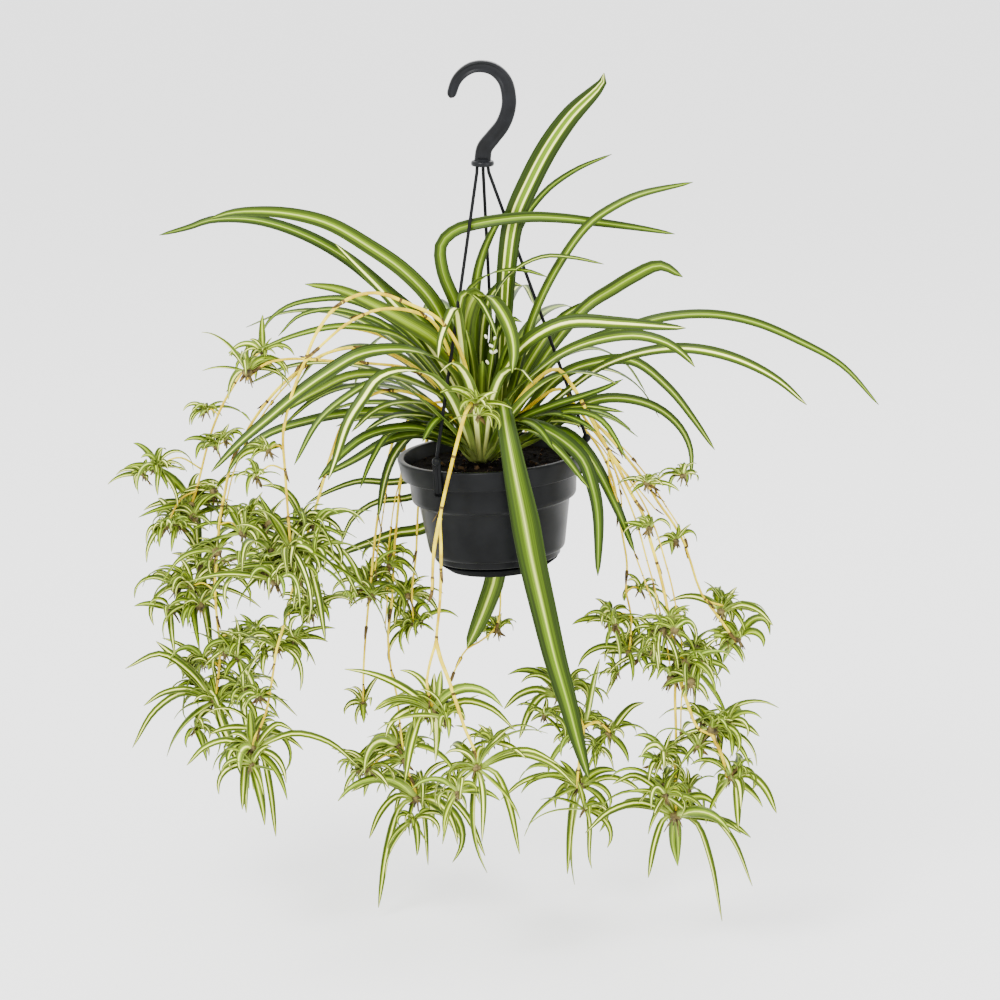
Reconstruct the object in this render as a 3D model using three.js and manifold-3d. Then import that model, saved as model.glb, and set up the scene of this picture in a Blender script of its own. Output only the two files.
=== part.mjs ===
// A spider plant with its runners and plantlets, in a round plastic hanging pot on a
// three-strand hanger. Millimetres, +Z up. The origin is the seat inside the top of the hook,
// +X is to the right and +Y goes away from someone who looks at the front of the plant.

import * as THREE from 'three';
import { mergeVertices } from 'three/addons/utils/BufferGeometryUtils.js';
import Module from 'manifold-3d';

const wasm = await Module();
wasm.setup();
const { Manifold } = wasm;

// Driving dimensions.
// GAP is the space between pieces that rest against each other, CLEAR the wider one around
// the stems and strands that leaves are cut clear of.
const GAP = 0.3;
const CLEAR = 0.6;
const POT_RIM = { x: 9.6, y: 0, z: -381.6 };
const POT_TILT = -3.4;
const POT_SIDES = 24;
const RIM_RADIUS = 94.4;
const RIM_BAND = 20;
const POT_FLOOR = -103.4;
const SAUCER_FLOOR = -115;
const DRAIN = { radius: 4, ring: 44, turns: [0, 90, 180, 270] };
const SOIL_DEPTH = 12;
const SOIL_RADIUS = 83.4;
const SOIL_BUMPS = [1.6, 1.1];
const CROWN = { x: -11, y: 6, radius: 23, above: 26, below: 20, sides: 12 };
const HOOK_THICK = 11;
const COLLAR = { x: 0.8, radius: 11.4, edge: 1, top: -88, bottom: -93, sides: 16 };
const STRAND = { thick: 3.4, sides: 8, socket: 8 };
const CLIP = { wide: 9, thick: 2.2, above: 11, below: 24.5, toe: 9.5, knob: 4.4 };

// Leaves, stems and blades: how many cross-sections they get and how thick they are.
const LEAF_STATIONS = 5;
const LONG_LEAF_STATIONS = 7;
const LEAF_KEEL = { least: 1.2, share: 0.13 };
const BLADE_STATIONS = 3;
const BLADE_KEEL = { least: 1, share: 0.2 };
const RUNNER_SIDES = 4;
const RUNNER_STEP = 46;
const STALK_RADIUS = 1;
const LINK_RADIUS = 1.3;

// A plantlet's core has flats at CORE_INNER of its size. Plantlets of one runner whose cores are
// nearer than NEIGHBOUR grow into one body.
const CORE_INNER = 0.795;
const NEIGHBOUR = 48;

// The smallest step of a leaf's and of a runner's skin, and the space left where two parts of
// one skin would touch in a point.
const FINEST = 0.3;
const FINEST_RUNNER = 0.1;
const PINCH = 0.02;

// Leaves and runners are measured in a front elevation drawn from 13 degrees above and 5 m away:
// across and up from the hook's seat. Their depth is the true y.
const ELEVATION = { tilt: 13, distance: 5000, across: 18, up: -428, height: -430.75 };

// Each mother leaf: width, turn to the front in degrees, then its points [across, up] or
// [across, up, depth]. Between stated depths the depth runs evenly.
const MOTHER_LEAVES = [
  [24, 85, [[17, -328, -4], [21, -258], [25, -191], [32, -147], [47, -111], [66, -75], [89, -43], [114, -16],
    [122, -3, -14]]],
  [9, 60, [[18, -268, 30], [32, -168], [61, -122], [93, -98], [130, -82, 90]]],
  [13, 60, [[32, -308, -12], [50, -247], [79, -188], [106, -152], [132, -134], [158, -122],
    [211, -110, -40]]],
  [13, 55, [[-12, -308, -12], [-25, -236], [-39, -200], [-41, -173], [-28, -159], [-7, -152], [43, -145],
    [79, -146], [114, -150], [158, -156], [193, -162, -18]]],
  [12, 60, [[-8, -258, 4], [-5, -204], [4, -173], [18, -147], [30, -134, 10]]],
  [9, 55, [[-20, -258, -18], [-16, -224], [-4, -208], [18, -198], [43, -198], [66, -205, -28]]],
  [8, 50, [[8, -268, -12], [11, -227], [32, -198], [61, -184], [89, -185], [122, -192, -40]]],
  [24, 10, [[-16, -258, -22], [-11, -213, -34], [12, -228, -48], [28, -257, -62], [32, -276, -72],
    [30, -301, -82]]],
  [12, 10, [[-22, -263, -30], [-17, -220, -44], [-4, -226, -56], [8, -246, -68], [15, -266, -80]]],
  [14, 20, [[-16, -328, -34], [-21, -263, -46], [-27, -234, -54], [-35, -248, -66], [-42, -268, -80],
    [-44, -286, -92]]],
  [28, 0, [[18, -368, -34], [20, -346, -62], [30, -373, -90], [40, -410, -106], [49, -448, -112],
    [61, -496, -116], [70, -568, -119], [81, -609], [94, -645], [103, -679], [107, -707, -124]]],
  [15, 0, [[10, -338, 40], [18, -326, 84], [21, -346, 114], [18, -448, 122], [13, -506, 122], [6, -528],
    [-5, -555], [-15, -576, 116]]],
  [11, 55, [[38, -333, -16], [78, -283, -22], [154, -252], [186, -244], [230, -242], [273, -250],
    [316, -268], [360, -293], [397, -333, -46]]],
  [12, 50, [[38, -358, -14], [89, -315, -30], [121, -293], [165, -279], [208, -276], [251, -285],
    [295, -307], [325, -333, -80]]],
  [14, 50, [[8, -328, -16], [32, -282, -30], [61, -259], [89, -249], [138, -251], [204, -256, -66]]],
  [15, 45, [[8, -358, -26], [28, -320, -44], [51, -301], [80, -280], [110, -268], [154, -263], [186, -271],
    [204, -284], [213, -295, -100]]],
  [10, 50, [[38, -348, 4], [78, -304, 10], [110, -291], [150, -288], [186, -315], [212, -347],
    [233, -378, 56]]],
  [9, 45, [[48, -368, 20], [110, -329, 36], [143, -326], [176, -336], [199, -356], [209, -378],
    [209, -408, 84]]],
  [9, 40, [[48, -364, -22], [78, -340, -40], [106, -341], [121, -349], [134, -367], [144, -387, -70]]],
  [13, 25, [[18, -372, -36], [32, -350, -56], [55, -352], [80, -366, -80], [101, -387], [110, -410],
    [116, -438], [116, -504, -100]]],
  [12, 35, [[38, -368, -18], [78, -358, -30], [99, -373, -38], [118, -400], [135, -435], [153, -481, -52]]],
  [10, 10, [[16, -378, -40], [30, -358, -62], [56, -360, -84], [80, -381, -98], [107, -416, -112]]],
  [13, 55, [[48, -308, 20], [102, -236, 40], [132, -216], [150, -205], [178, -193], [201, -205, 70]]],
  [15, 60, [[38, -308, 26], [78, -248, 44], [105, -229, 54]]],
  [12, 50, [[-20, -313, -6], [-45, -236, -8], [-75, -201], [-115, -173], [-154, -151], [-194, -141],
    [-233, -139], [-253, -141], [-273, -147, -16]]],
  [14, 50, [[-20, -318, 14], [-52, -258, 22], [-95, -219], [-134, -187], [-174, -164], [-213, -150],
    [-243, -146], [-273, -148], [-293, -155], [-323, -163, 46]]],
  [14, 45, [[-12, -318, -26], [-42, -272, -34], [-75, -250], [-115, -229], [-144, -217], [-177, -212, -66]]],
  [9, 45, [[-27, -318, 22], [-82, -253, 44], [-134, -227], [-164, -227], [-194, -234], [-213, -248],
    [-226, -272, 84]]],
  [9, 45, [[-32, -323, 6], [-95, -254, 22], [-124, -242], [-154, -237], [-184, -244], [-204, -264, 40]]],
  [10, 45, [[-27, -328, -14], [-75, -268, -32], [-105, -257], [-144, -254], [-184, -262],
    [-223, -277, -64]]],
  [16, 40, [[-14, -328, -40], [-36, -292, -66], [-65, -278], [-95, -276], [-124, -282], [-154, -300],
    [-184, -321], [-213, -345], [-243, -371], [-271, -400, -110]]],
  [12, 40, [[-16, -353, -20], [-35, -328, -34], [-65, -310], [-95, -302], [-134, -304], [-164, -318],
    [-194, -335], [-221, -353, -80]]],
  [17, 25, [[-16, -358, -46], [-36, -316, -78], [-55, -300, -88], [-85, -298], [-105, -306], [-119, -325],
    [-134, -349], [-146, -385], [-154, -408, -132]]],
  [10, 35, [[-22, -368, -16], [-75, -341, -36], [-134, -341], [-174, -348], [-213, -361], [-243, -383],
    [-256, -403, -60]]],
  [9, 30, [[-32, -353, -60], [-82, -312, -84], [-107, -308], [-134, -323], [-164, -349],
    [-188, -393, -126]]],
  [11, 30, [[-14, -374, -30], [-35, -364, -44], [-75, -354, -66], [-115, -363], [-144, -385],
    [-164, -408, -92]]],
  [10, 35, [[-18, -376, -12], [-65, -362, -24], [-95, -368], [-124, -385], [-164, -406, -34]]],
  [9, 30, [[-27, -368, 10], [-77, -352, 20], [-91, -373, 24], [-97, -410, 24]]],
];

// Each runner: name, radius where it starts, radius at its end, then its stems' points.
const RUNNERS = [
  ['left_front', 2.0, 1.2, [
    [[-8, -358, -20], [-12, -313, -44], [-26, -270, -62], [-45, -246, -72], [-75, -231, -80],
      [-105, -221, -84], [-127, -224, -87], [-148, -237, -89], [-166, -262, -90], [-178, -291, -90],
      [-188, -316, -90], [-195, -341, -91], [-199, -364, -92], [-197, -398, -92], [-195, -428, -92],
      [-192, -468, -92]],
    [[-12, -358, -14], [-30, -288, -34], [-50, -249, -56], [-75, -238, -68], [-105, -238, -77],
      [-134, -251, -84], [-158, -271, -88], [-178, -291, -90]],
  ]],
  ['left_upper', 1.7, 1.2, [
    [[-20, -348, -6], [-48, -310, -18], [-75, -296, -25], [-105, -292, -31], [-134, -290, -36],
      [-164, -288, -42], [-194, -287, -47], [-217, -292, -50], [-236, -308, -50]],
  ]],
  ['left_back', 1.8, 1.2, [
    [[-20, -353, 14], [-52, -308, 36], [-102, -278, 50], [-152, -280, 58], [-197, -310, 60], [-227, -346, 60],
      [-241, -371, 60], [-251, -392, 60], [-257, -420, 58], [-262, -447, 58], [-265, -482, 56],
      [-267, -518, 56], [-265, -547, 55], [-262, -578, 54], [-265, -618, 54]],
  ]],
  ['far_left', 1.6, 1.1, [
    [[-14, -348, 24], [-52, -294, 60], [-112, -260, 90], [-172, -258, 104], [-222, -280, 110],
      [-254, -323, 110], [-268, -353, 110], [-276, -379, 110], [-282, -404, 108], [-289, -430, 108]],
  ]],
  ['left_inner', 1.6, 1.1, [
    [[-20, -358, -12], [-62, -324, -30], [-102, -320, -34], [-134, -343, -34], [-151, -383, -34],
      [-160, -414, -34], [-167, -438, -35], [-176, -466, -36], [-183, -488, -36], [-189, -514, -37],
      [-194, -540, -38], [-205, -576, -38], [-210, -608, -39], [-216, -640, -40], [-228, -670, -40]],
  ]],
  ['side_back', 1.4, 1.0, [
    [[-16, -358, 26], [-52, -340, 60], [-84, -360, 78], [-98, -408, 80], [-106, -458, 78], [-111, -508, 76],
      [-115, -548, 74], [-118, -588, 72], [-119, -628, 70]],
  ]],
  ['back_left', 1.5, 1.0, [
    [[-10, -353, 30], [-42, -330, 72], [-70, -348, 98], [-80, -398, 106], [-85, -448, 104], [-88, -484, 102],
      [-90, -528, 98], [-94, -563, 94], [-91, -597, 90], [-85, -625, 86], [-80, -670, 82], [-74, -698, 80],
      [-66, -722, 78]],
  ]],
  ['back_left_short', 1.4, 1.0, [
    [[-4, -348, 34], [-28, -330, 84], [-50, -348, 114], [-60, -398, 120], [-64, -437, 120], [-66, -483, 118],
      [-70, -520, 114], [-69, -546, 112]],
  ]],
  ['front', 2.0, 1.2, [
    [[-2, -368, -24], [-3, -340, -50], [-8, -330, -78], [-16, -340, -98], [-22, -360, -106],
      [-29, -387, -110], [-39, -429, -114], [-42, -446, -114], [-41, -477, -114], [-42, -528, -114],
      [-45, -558, -113], [-46, -569, -113], [-52, -591, -110], [-55, -612, -106], [-50, -634, -104]],
    [[-46, -569, -113], [-41, -588, -114], [-34, -606, -116], [-26, -630, -118], [-17, -657, -119],
      [-9, -675, -120], [-2, -696, -120]],
    [[-42, -446, -114], [-48, -478, -117], [-50, -518, -118]],
  ]],
  ['back', 1.3, 0.9, [
    [[12, -348, 40], [16, -326, 88], [18, -348, 128], [20, -408, 136], [18, -488, 136], [15, -553, 134],
      [0, -568, 128], [-16, -578, 120], [-28, -600, 112]],
  ]],
  ['back_right', 1.6, 1.1, [
    [[20, -353, 36], [30, -328, 84], [42, -352, 122], [52, -418, 134], [61, -488, 132], [67, -548, 128],
      [71, -588, 122], [73, -622, 118]],
    [[71, -588, 122], [80, -618, 114], [96, -643, 108], [102, -655, 106]],
    [[102, -655, 106], [98, -680, 104], [95, -716, 102]],
    [[102, -655, 106], [116, -650, 102], [128, -660, 98]],
  ]],
  ['right', 2.0, 1.2, [
    [[18, -358, -18], [48, -314, -26], [75, -297, -32], [91, -315, -36], [106, -341, -40], [121, -369, -42],
      [129, -382, -43], [139, -401, -44], [150, -423, -44], [160, -440, -45], [169, -471, -45],
      [176, -495, -46], [182, -519, -46], [189, -558, -46], [194, -595, -46], [193, -624, -46],
      [194, -662, -46], [193, -701, -46], [194, -736, -46]],
    [[18, -368, -12], [53, -330, -14], [78, -317, -16], [95, -336, -24], [110, -356, -32], [129, -382, -43]],
    [[194, -595, -46], [206, -633, -52], [216, -656, -60], [230, -663, -64]],
    [[230, -663, -64], [240, -684, -60], [245, -706, -58]],
  ]],
  ['far_right', 1.7, 1.1, [
    [[24, -368, 2], [58, -336, 10], [80, -328, 16], [102, -340, 22], [124, -362, 26], [145, -386, 30],
      [165, -412, 32], [176, -430, 32], [191, -451, 33], [202, -471, 33], [208, -488, 33], [216, -513, 33],
      [224, -528, 32], [242, -534, 30]],
    [[224, -528, 32], [240, -550, 26], [254, -570, 22]],
  ]],
  ['right_back', 1.5, 1.0, [
    [[22, -363, 24], [58, -340, 52], [94, -350, 74], [118, -378, 80], [132, -412, 82], [136, -440, 82],
      [141, -466, 81], [145, -492, 80], [144, -518, 80], [149, -544, 79], [148, -576, 78]],
  ]],
];

// Each plantlet: runner, across, up, depth beside the runner, spread, how far it hangs from 0
// to 1, and the number of its blades.
const PLANTLETS = [
  ['front', -6, -332, -14, 34, 0.0, 8],
  ['left_upper', -239, -310, 0, 52, 0.1, 9],
  ['far_left', -276, -338, 6, 28, 0.2, 6],
  ['far_left', -325, -394, -28, 36, 0.3, 8],
  ['far_left', -290, -432, 0, 46, 0.35, 8],
  ['far_left', -316, -455, -30, 30, 0.4, 6],
  ['left_back', -266, -374, -24, 32, 0.2, 6],
  ['left_back', -239, -461, -22, 62, 0.3, 9],
  ['left_back', -290, -514, 14, 56, 0.4, 9],
  ['left_back', -242, -572, -26, 46, 0.4, 8],
  ['left_back', -279, -588, 16, 36, 0.4, 8],
  ['left_back', -266, -628, 0, 70, 0.5, 10],
  ['left_front', -214, -378, -12, 24, 0.2, 6],
  ['left_front', -226, -404, -26, 24, 0.3, 6],
  ['left_front', -191, -478, 0, 84, 0.25, 12],
  ['left_inner', -174, -536, -14, 38, 0.4, 8],
  ['left_inner', -205, -576, 14, 42, 0.4, 8],
  ['left_inner', -223, -625, -12, 28, 0.4, 6],
  ['left_inner', -230, -676, 0, 72, 0.7, 10],
  ['side_back', -111, -514, 0, 46, 0.3, 8],
  ['side_back', -119, -632, 0, 26, 0.3, 6],
  ['back_left', -88, -484, 0, 34, 0.3, 8],
  ['back_left', -80, -674, 0, 52, 0.5, 8],
  ['back_left', -113, -696, -20, 36, 0.5, 8],
  ['back_left', -65, -726, 0, 70, 0.8, 10],
  ['back_left_short', -71, -525, 0, 38, 0.4, 8],
  ['back_left_short', -69, -552, 0, 32, 0.5, 6],
  ['front', -48, -639, 0, 58, 0.4, 9],
  ['front', -1, -701, 0, 60, 0.68, 9],
  ['back', 15, -559, 0, 28, 0.3, 6],
  ['back_right', 72, -627, 0, 52, 0.35, 8],
  ['back_right', 102, -658, 0, 44, 0.4, 8],
  ['back_right', 129, -664, 0, 36, 0.5, 8],
  ['back_right', 95, -721, 0, 56, 0.7, 9],
  ['far_right', 201, -403, -20, 28, 0.2, 6],
  ['far_right', 194, -469, -14, 24, 0.3, 6],
  ['far_right', 243, -536, 0, 44, 0.4, 8],
  ['far_right', 255, -573, 0, 42, 0.5, 8],
  ['right', 165, -411, -18, 22, 0.3, 6],
  ['right', 168, -456, -14, 26, 0.3, 6],
  ['right', 180, -556, -14, 38, 0.4, 8],
  ['right', 205, -590, -10, 52, 0.4, 8],
  ['right', 182, -681, -14, 32, 0.4, 6],
  ['right', 232, -663, 0, 56, 0.5, 9],
  ['right', 245, -710, 0, 44, 0.6, 8],
  ['right', 183, -723, -22, 42, 0.5, 8],
  ['right', 194, -743, 0, 70, 0.8, 10],
  ['right_back', 158, -517, 10, 28, 0.3, 6],
  ['right_back', 129, -548, -10, 34, 0.4, 8],
  ['right_back', 147, -580, 0, 42, 0.5, 8],
];

// Long single blades: the plantlet's place in the list above, then the blade's tip across and
// up from the plantlet, and its width.
const LONG_BLADES = [
  [18, 105, -17, 7],
  [18, 20, -92, 7],
  [24, -37, -117, 8],
  [24, 8, -72, 7],
  [28, -31, -78, 7],
  [28, 39, -88, 7],
  [33, -11, -95, 9],
  [46, 44, -110, 8],
  [46, -24, -65, 7],
  [11, -82, -48, 6],
  [11, -86, 38, 6],
  [19, -33, 46, 6],
];

const rad = THREE.MathUtils.degToRad;
const vec = (x, y, z) => new THREE.Vector3(x, y, z);
const UP = vec(0, 0, 1);

// A repeatable number from 0 to 1 for the nth draw of a seed.
function draw(seed, n) {
  const s = Math.sin(seed * 12.9898 + n * 78.233) * 43758.5453;
  return s - Math.floor(s);
}

// Materials.
const plastic = (colour) => new THREE.MeshStandardMaterial({ color: colour, roughness: 0.55, metalness: 0 });
const plant = (colour) => new THREE.MeshStandardMaterial({ color: colour, roughness: 0.5, metalness: 0 });
const BLACK_PLASTIC = plastic(0x24272a);
const SOIL = new THREE.MeshStandardMaterial({ color: 0x2b1d14, roughness: 0.95, metalness: 0 });
const LEAF_GREEN = plant(0x5d8a2f);
const YOUNG_GREEN = plant(0x8db23e);
const STRAW = plant(0xd9b268);

// Solids.
function solid(geometry) {
  const bare = geometry.clone();
  bare.deleteAttribute('normal');
  bare.deleteAttribute('uv');
  const merged = mergeVertices(bare, 1e-4);
  const vertProperties = new Float32Array(merged.attributes.position.array);
  const triVerts = [];
  for (let i = 0; i < merged.index.count; i += 3) {
    const [a, b, c] = [0, 1, 2].map((k) => merged.index.getX(i + k));
    if (a !== b && b !== c && c !== a) triVerts.push(a, b, c);
  }
  return new Manifold(new wasm.Mesh({ numProp: 3, vertProperties, triVerts: new Uint32Array(triVerts) }));
}

// The faces of a body. Corners that only touch each other are drawn a hair towards their own
// faces, so that no two parts of the skin meet in a point or along an edge.
function surface(body) {
  const { vertProperties: place, triVerts: corners } = body.getMesh();
  const sameSpot = new Map();
  for (let v = 0; v < place.length / 3; v += 1) {
    const key = [0, 1, 2].map((k) => Math.round(place[3 * v + k] * 1000)).join();
    sameSpot.set(key, [...(sameSpot.get(key) ?? []), v]);
  }
  for (const v of [...sameSpot.values()].filter((list) => list.length > 1).flat()) {
    const spot = vec(place[3 * v], place[3 * v + 1], place[3 * v + 2]);
    const middle = vec(0, 0, 0);
    let count = 0;
    for (let i = 0; i < corners.length; i += 1) {
      if (corners[i] !== v) continue;
      const first = i - (i % 3);
      for (const w of corners.slice(first, first + 3)) middle.add(vec(...place.slice(3 * w, 3 * w + 3)));
      count += 3;
    }
    spot.add(middle.divideScalar(count).sub(spot).setLength(PINCH));
    place.set(spot.toArray(), 3 * v);
  }
  const geometry = new THREE.BufferGeometry();
  geometry.setAttribute('position', new THREE.Float32BufferAttribute(place, 3));
  geometry.setIndex([...corners]);
  return geometry;
}

// Joins rings of points into one closed solid; a ring of one point is a tip.
function loft(rings) {
  const points = [];
  const starts = rings.map((ring) => {
    points.push(...ring);
    return points.length - ring.length;
  });
  const faces = [];
  for (let r = 0; r + 1 < rings.length; r += 1) {
    const count = Math.max(rings[r].length, rings[r + 1].length);
    for (let k = 0; k < count; k += 1) {
      const next = (k + 1) % count;
      const at = (row, n) => starts[row] + (rings[row].length === 1 ? 0 : n);
      if (rings[r].length > 1) faces.push([at(r, k), at(r, next), at(r + 1, k)]);
      if (rings[r + 1].length > 1) faces.push([at(r, next), at(r + 1, next), at(r + 1, k)]);
    }
  }
  const cap = (row, turned) => {
    for (let k = 1; k + 1 < rings[row].length; k += 1) {
      const face = [starts[row], starts[row] + k + 1, starts[row] + k];
      faces.push(turned ? face.reverse() : face);
    }
  };
  cap(0, false);
  cap(rings.length - 1, true);
  let volume = 0;
  for (const [a, b, c] of faces) volume += points[a].dot(points[b].clone().cross(points[c]));
  const geometry = new THREE.BufferGeometry().setFromPoints(points);
  geometry.setIndex(faces.flatMap((face) => (volume < 0 ? face.slice().reverse() : face)));
  return geometry;
}

function lathe(profile, sides) {
  const geometry = new THREE.LatheGeometry(profile.map(([r, z]) => new THREE.Vector2(r, z)), sides);
  return geometry.rotateX(Math.PI / 2);
}

// A round or square-sided stem along a curve, thinner at its end, grown all round by `grow`.
function stem(curve, steps, sides, radiusAt, grow = 0) {
  const rings = [];
  let across = null;
  for (let i = 0; i <= steps; i += 1) {
    const along = i / steps;
    const ahead = curve.getTangentAt(along);
    const centre = curve.getPointAt(along);
    if (i === 0) centre.addScaledVector(ahead, -grow);
    if (i === steps) centre.addScaledVector(ahead, grow);
    if (!across) across = Math.abs(ahead.z) > 0.9 ? vec(1, 0, 0) : UP.clone();
    across = across.clone().addScaledVector(ahead, -across.dot(ahead)).normalize();
    const other = ahead.clone().cross(across);
    const ring = [];
    for (let k = 0; k < sides; k += 1) {
      const turn = (2 * Math.PI * k) / sides;
      const reach = radiusAt(along) + grow;
      ring.push(centre.clone()
        .addScaledVector(across, reach * Math.cos(turn))
        .addScaledVector(other, reach * Math.sin(turn)));
    }
    rings.push(ring);
  }
  return loft(rings);
}

// The main body of what a cut leaves, without its scraps and without needlessly small faces.
function largest(body) {
  return body.decompose().sort((a, b) => b.volume() - a.volume())[0];
}

const tidied = (body, finest = FINEST) => largest(body.asOriginal().simplify(finest));

// The measured front elevation, turned back into the real place at a depth.
function seen([across, up, depth]) {
  const { tilt, distance, across: midX, up: midUp, height } = ELEVATION;
  const [s, c] = [Math.sin(rad(tilt)), Math.cos(rad(tilt))];
  const rise = up - midUp;
  const reach = (depth + distance * c) / (distance * c + rise * s);
  const z = height + distance * s + reach * (rise * c - distance * s);
  return vec(midX + reach * (across - midX), depth, z);
}

function withDepths(points) {
  const lengths = [0];
  for (let i = 1; i < points.length; i += 1) {
    const [[x, h], [beforeX, beforeH]] = [points[i], points[i - 1]];
    lengths.push(lengths[i - 1] + Math.hypot(x - beforeX, h - beforeH));
  }
  const known = points.map((p, i) => i).filter((i) => points[i].length > 2);
  return points.map(([x, h], i) => {
    const after = known.find((k) => k >= i);
    const before = [...known].reverse().find((k) => k <= i);
    const part = after === before ? 0 : (lengths[i] - lengths[before]) / (lengths[after] - lengths[before]);
    return [x, h, THREE.MathUtils.lerp(points[before][2], points[after][2], part)];
  });
}

// Places a point given in the tilted pot's own frame: its centre at the middle of the rim's top.
const potFrame = new THREE.Object3D();
potFrame.position.set(POT_RIM.x, POT_RIM.y, POT_RIM.z);
potFrame.rotation.y = rad(POT_TILT);
potFrame.updateMatrixWorld();
const fromPot = (x, y, z) => potFrame.localToWorld(vec(x, y, z));
const CROWN_FOOT = fromPot(CROWN.x, CROWN.y, -SOIL_DEPTH);

const intoWorld = (geometry) => geometry.clone().applyMatrix4(potFrame.matrixWorld);

// Pot, saucer and soil, each turned about the pot's axis.
function pot() {
  const shell = solid(lathe([
    [0, -106], [61.5, -106], [63, -104.5], [63, -99.2], [66.8, -97.6], [68.5, -94], [75.5, -49],
    [81.6, -44.8], [82.4, -42], [84, -RIM_BAND], [91, -RIM_BAND], [RIM_RADIUS, -1.4], [93.4, 0],
    [88.6, 0], [87.4, -1.4], [81.8, -RIM_BAND], [80, -42.4], [74, -47], [66.4, -93], [60.6, -98],
    [60.6, POT_FLOOR], [0, POT_FLOOR],
  ], POT_SIDES));
  const drain = solid(new THREE.CylinderGeometry(DRAIN.radius, DRAIN.radius, 10, 6).rotateX(Math.PI / 2));
  const drains = DRAIN.turns.map(rad).map((turn) => drain
    .translate([DRAIN.ring * Math.cos(turn), DRAIN.ring * Math.sin(turn), POT_FLOOR]));
  return surface(shell.subtract(Manifold.union(drains)));
}

function dripSaucer() {
  return lathe([
    [0, -117], [49, -117], [60.8, -108.4], [58.6, -108.2], [48, SAUCER_FLOOR], [36, SAUCER_FLOOR],
    [36, -106 - GAP], [33, -106 - GAP], [33, SAUCER_FLOOR], [0, SAUCER_FLOOR],
  ], POT_SIDES);
}

function pottingSoil() {
  const body = lathe([
    [0, POT_FLOOR + GAP], [60.2, POT_FLOOR + GAP], [60.2, -98.3], [66, -93.2], [73.6, -47.3],
    [79.6, -42.6], [81.3, -RIM_BAND], [SOIL_RADIUS, -SOIL_DEPTH], [SOIL_RADIUS / 2, -SOIL_DEPTH],
    [0, -SOIL_DEPTH],
  ], POT_SIDES);
  const place = body.attributes.position;
  for (let i = 0; i < place.count; i += 1) {
    const reach = Math.hypot(place.getX(i), place.getY(i));
    if (place.getZ(i) > -SOIL_DEPTH - 0.01 && reach < SOIL_RADIUS - 4) {
      const turn = Math.atan2(place.getY(i), place.getX(i));
      const bump = SOIL_BUMPS[0] * Math.sin(turn * 5) + SOIL_BUMPS[1] * Math.cos(turn * 3);
      place.setZ(i, place.getZ(i) + (reach < 1 ? 0 : bump));
    }
  }
  const socket = lathe([
    [0, -CROWN.below - GAP], [CROWN.radius * 0.8 + GAP, -CROWN.below - GAP],
    [CROWN.radius + 0.5, -4], [CROWN.radius + 0.5, 12], [0, 12],
  ], CROWN.sides).translate(CROWN.x, CROWN.y, -SOIL_DEPTH);
  return surface(solid(body).subtract(solid(socket)));
}

// The hook is a flat moulded bar with raised edges, bent to a question mark, with a round collar.
const HOOK_LINE = [[-29.5, -21], [-22.8, -5.6], [-12, 3.4], [0.3, 5.7], [12.4, 2.3], [22.9, -8.8],
  [26.9, -27.5], [25.2, -40.3], [20, -52.8], [10.7, -64.8], [2.7, -75.6], [COLLAR.x, COLLAR.top]];
const HOOK_WIDTHS = [[0, 7], [0.03, 9.6], [0.25, 11.4], [0.5, 14.4], [0.75, 15], [1, 16.6]];

// Where each strand enters the collar, and the compass turn of its clip around the rim.
const SOCKETS = { front: [-4.2, -3, -34], right: [5.4, -0.6, 84], back: [1.2, 3.6, 177] };

function widthAt(table, along) {
  const upper = Math.max(1, table.findIndex(([at]) => at >= along));
  const [[a, low], [b, high]] = [table[upper - 1], table[upper]];
  return THREE.MathUtils.mapLinear(along, a, b, low, high);
}

function hangerHook() {
  const line = new THREE.CatmullRomCurve3(HOOK_LINE.map(([x, z]) => vec(x, 0, z)), false, 'centripetal');
  const rings = [];
  const steps = 18;
  for (let i = 0; i <= steps; i += 1) {
    const centre = line.getPointAt(i / steps);
    const ahead = line.getTangentAt(i / steps);
    const side = vec(ahead.z, 0, -ahead.x);
    const half = widthAt(HOOK_WIDTHS, i / steps) / 2;
    const deep = (HOOK_THICK / 2) * Math.min(1, 0.6 + i * 0.2);
    const section = [[-1, -0.6], [-0.75, -1], [-0.5, -0.8], [0.5, -0.8], [0.75, -1], [1, -0.6],
      [1, 0.6], [0.75, 1], [0.5, 0.8], [-0.5, 0.8], [-0.75, 1], [-1, 0.6]];
    rings.push(section.map(([u, v]) => centre.clone().addScaledVector(side, u * half)
      .add(vec(0, v * deep, 0))));
  }
  const bar = solid(loft(rings));
  const { x: middle, radius, edge, top, bottom } = COLLAR;
  const collar = solid(lathe([[0, bottom], [radius - edge, bottom], [radius, bottom + edge],
    [radius, top - edge], [radius - edge, top], [0, top + 3]], COLLAR.sides).translate(middle, 0, 0));
  const bore = STRAND.thick / 2 + GAP;
  const holes = Object.values(SOCKETS).map(([x, y]) => solid(
    new THREE.CylinderGeometry(bore, bore, 2 * STRAND.socket, STRAND.sides)
      .rotateX(Math.PI / 2).translate(x, y, bottom)));
  return surface(bar.add(collar).subtract(Manifold.union(holes)));
}

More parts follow.
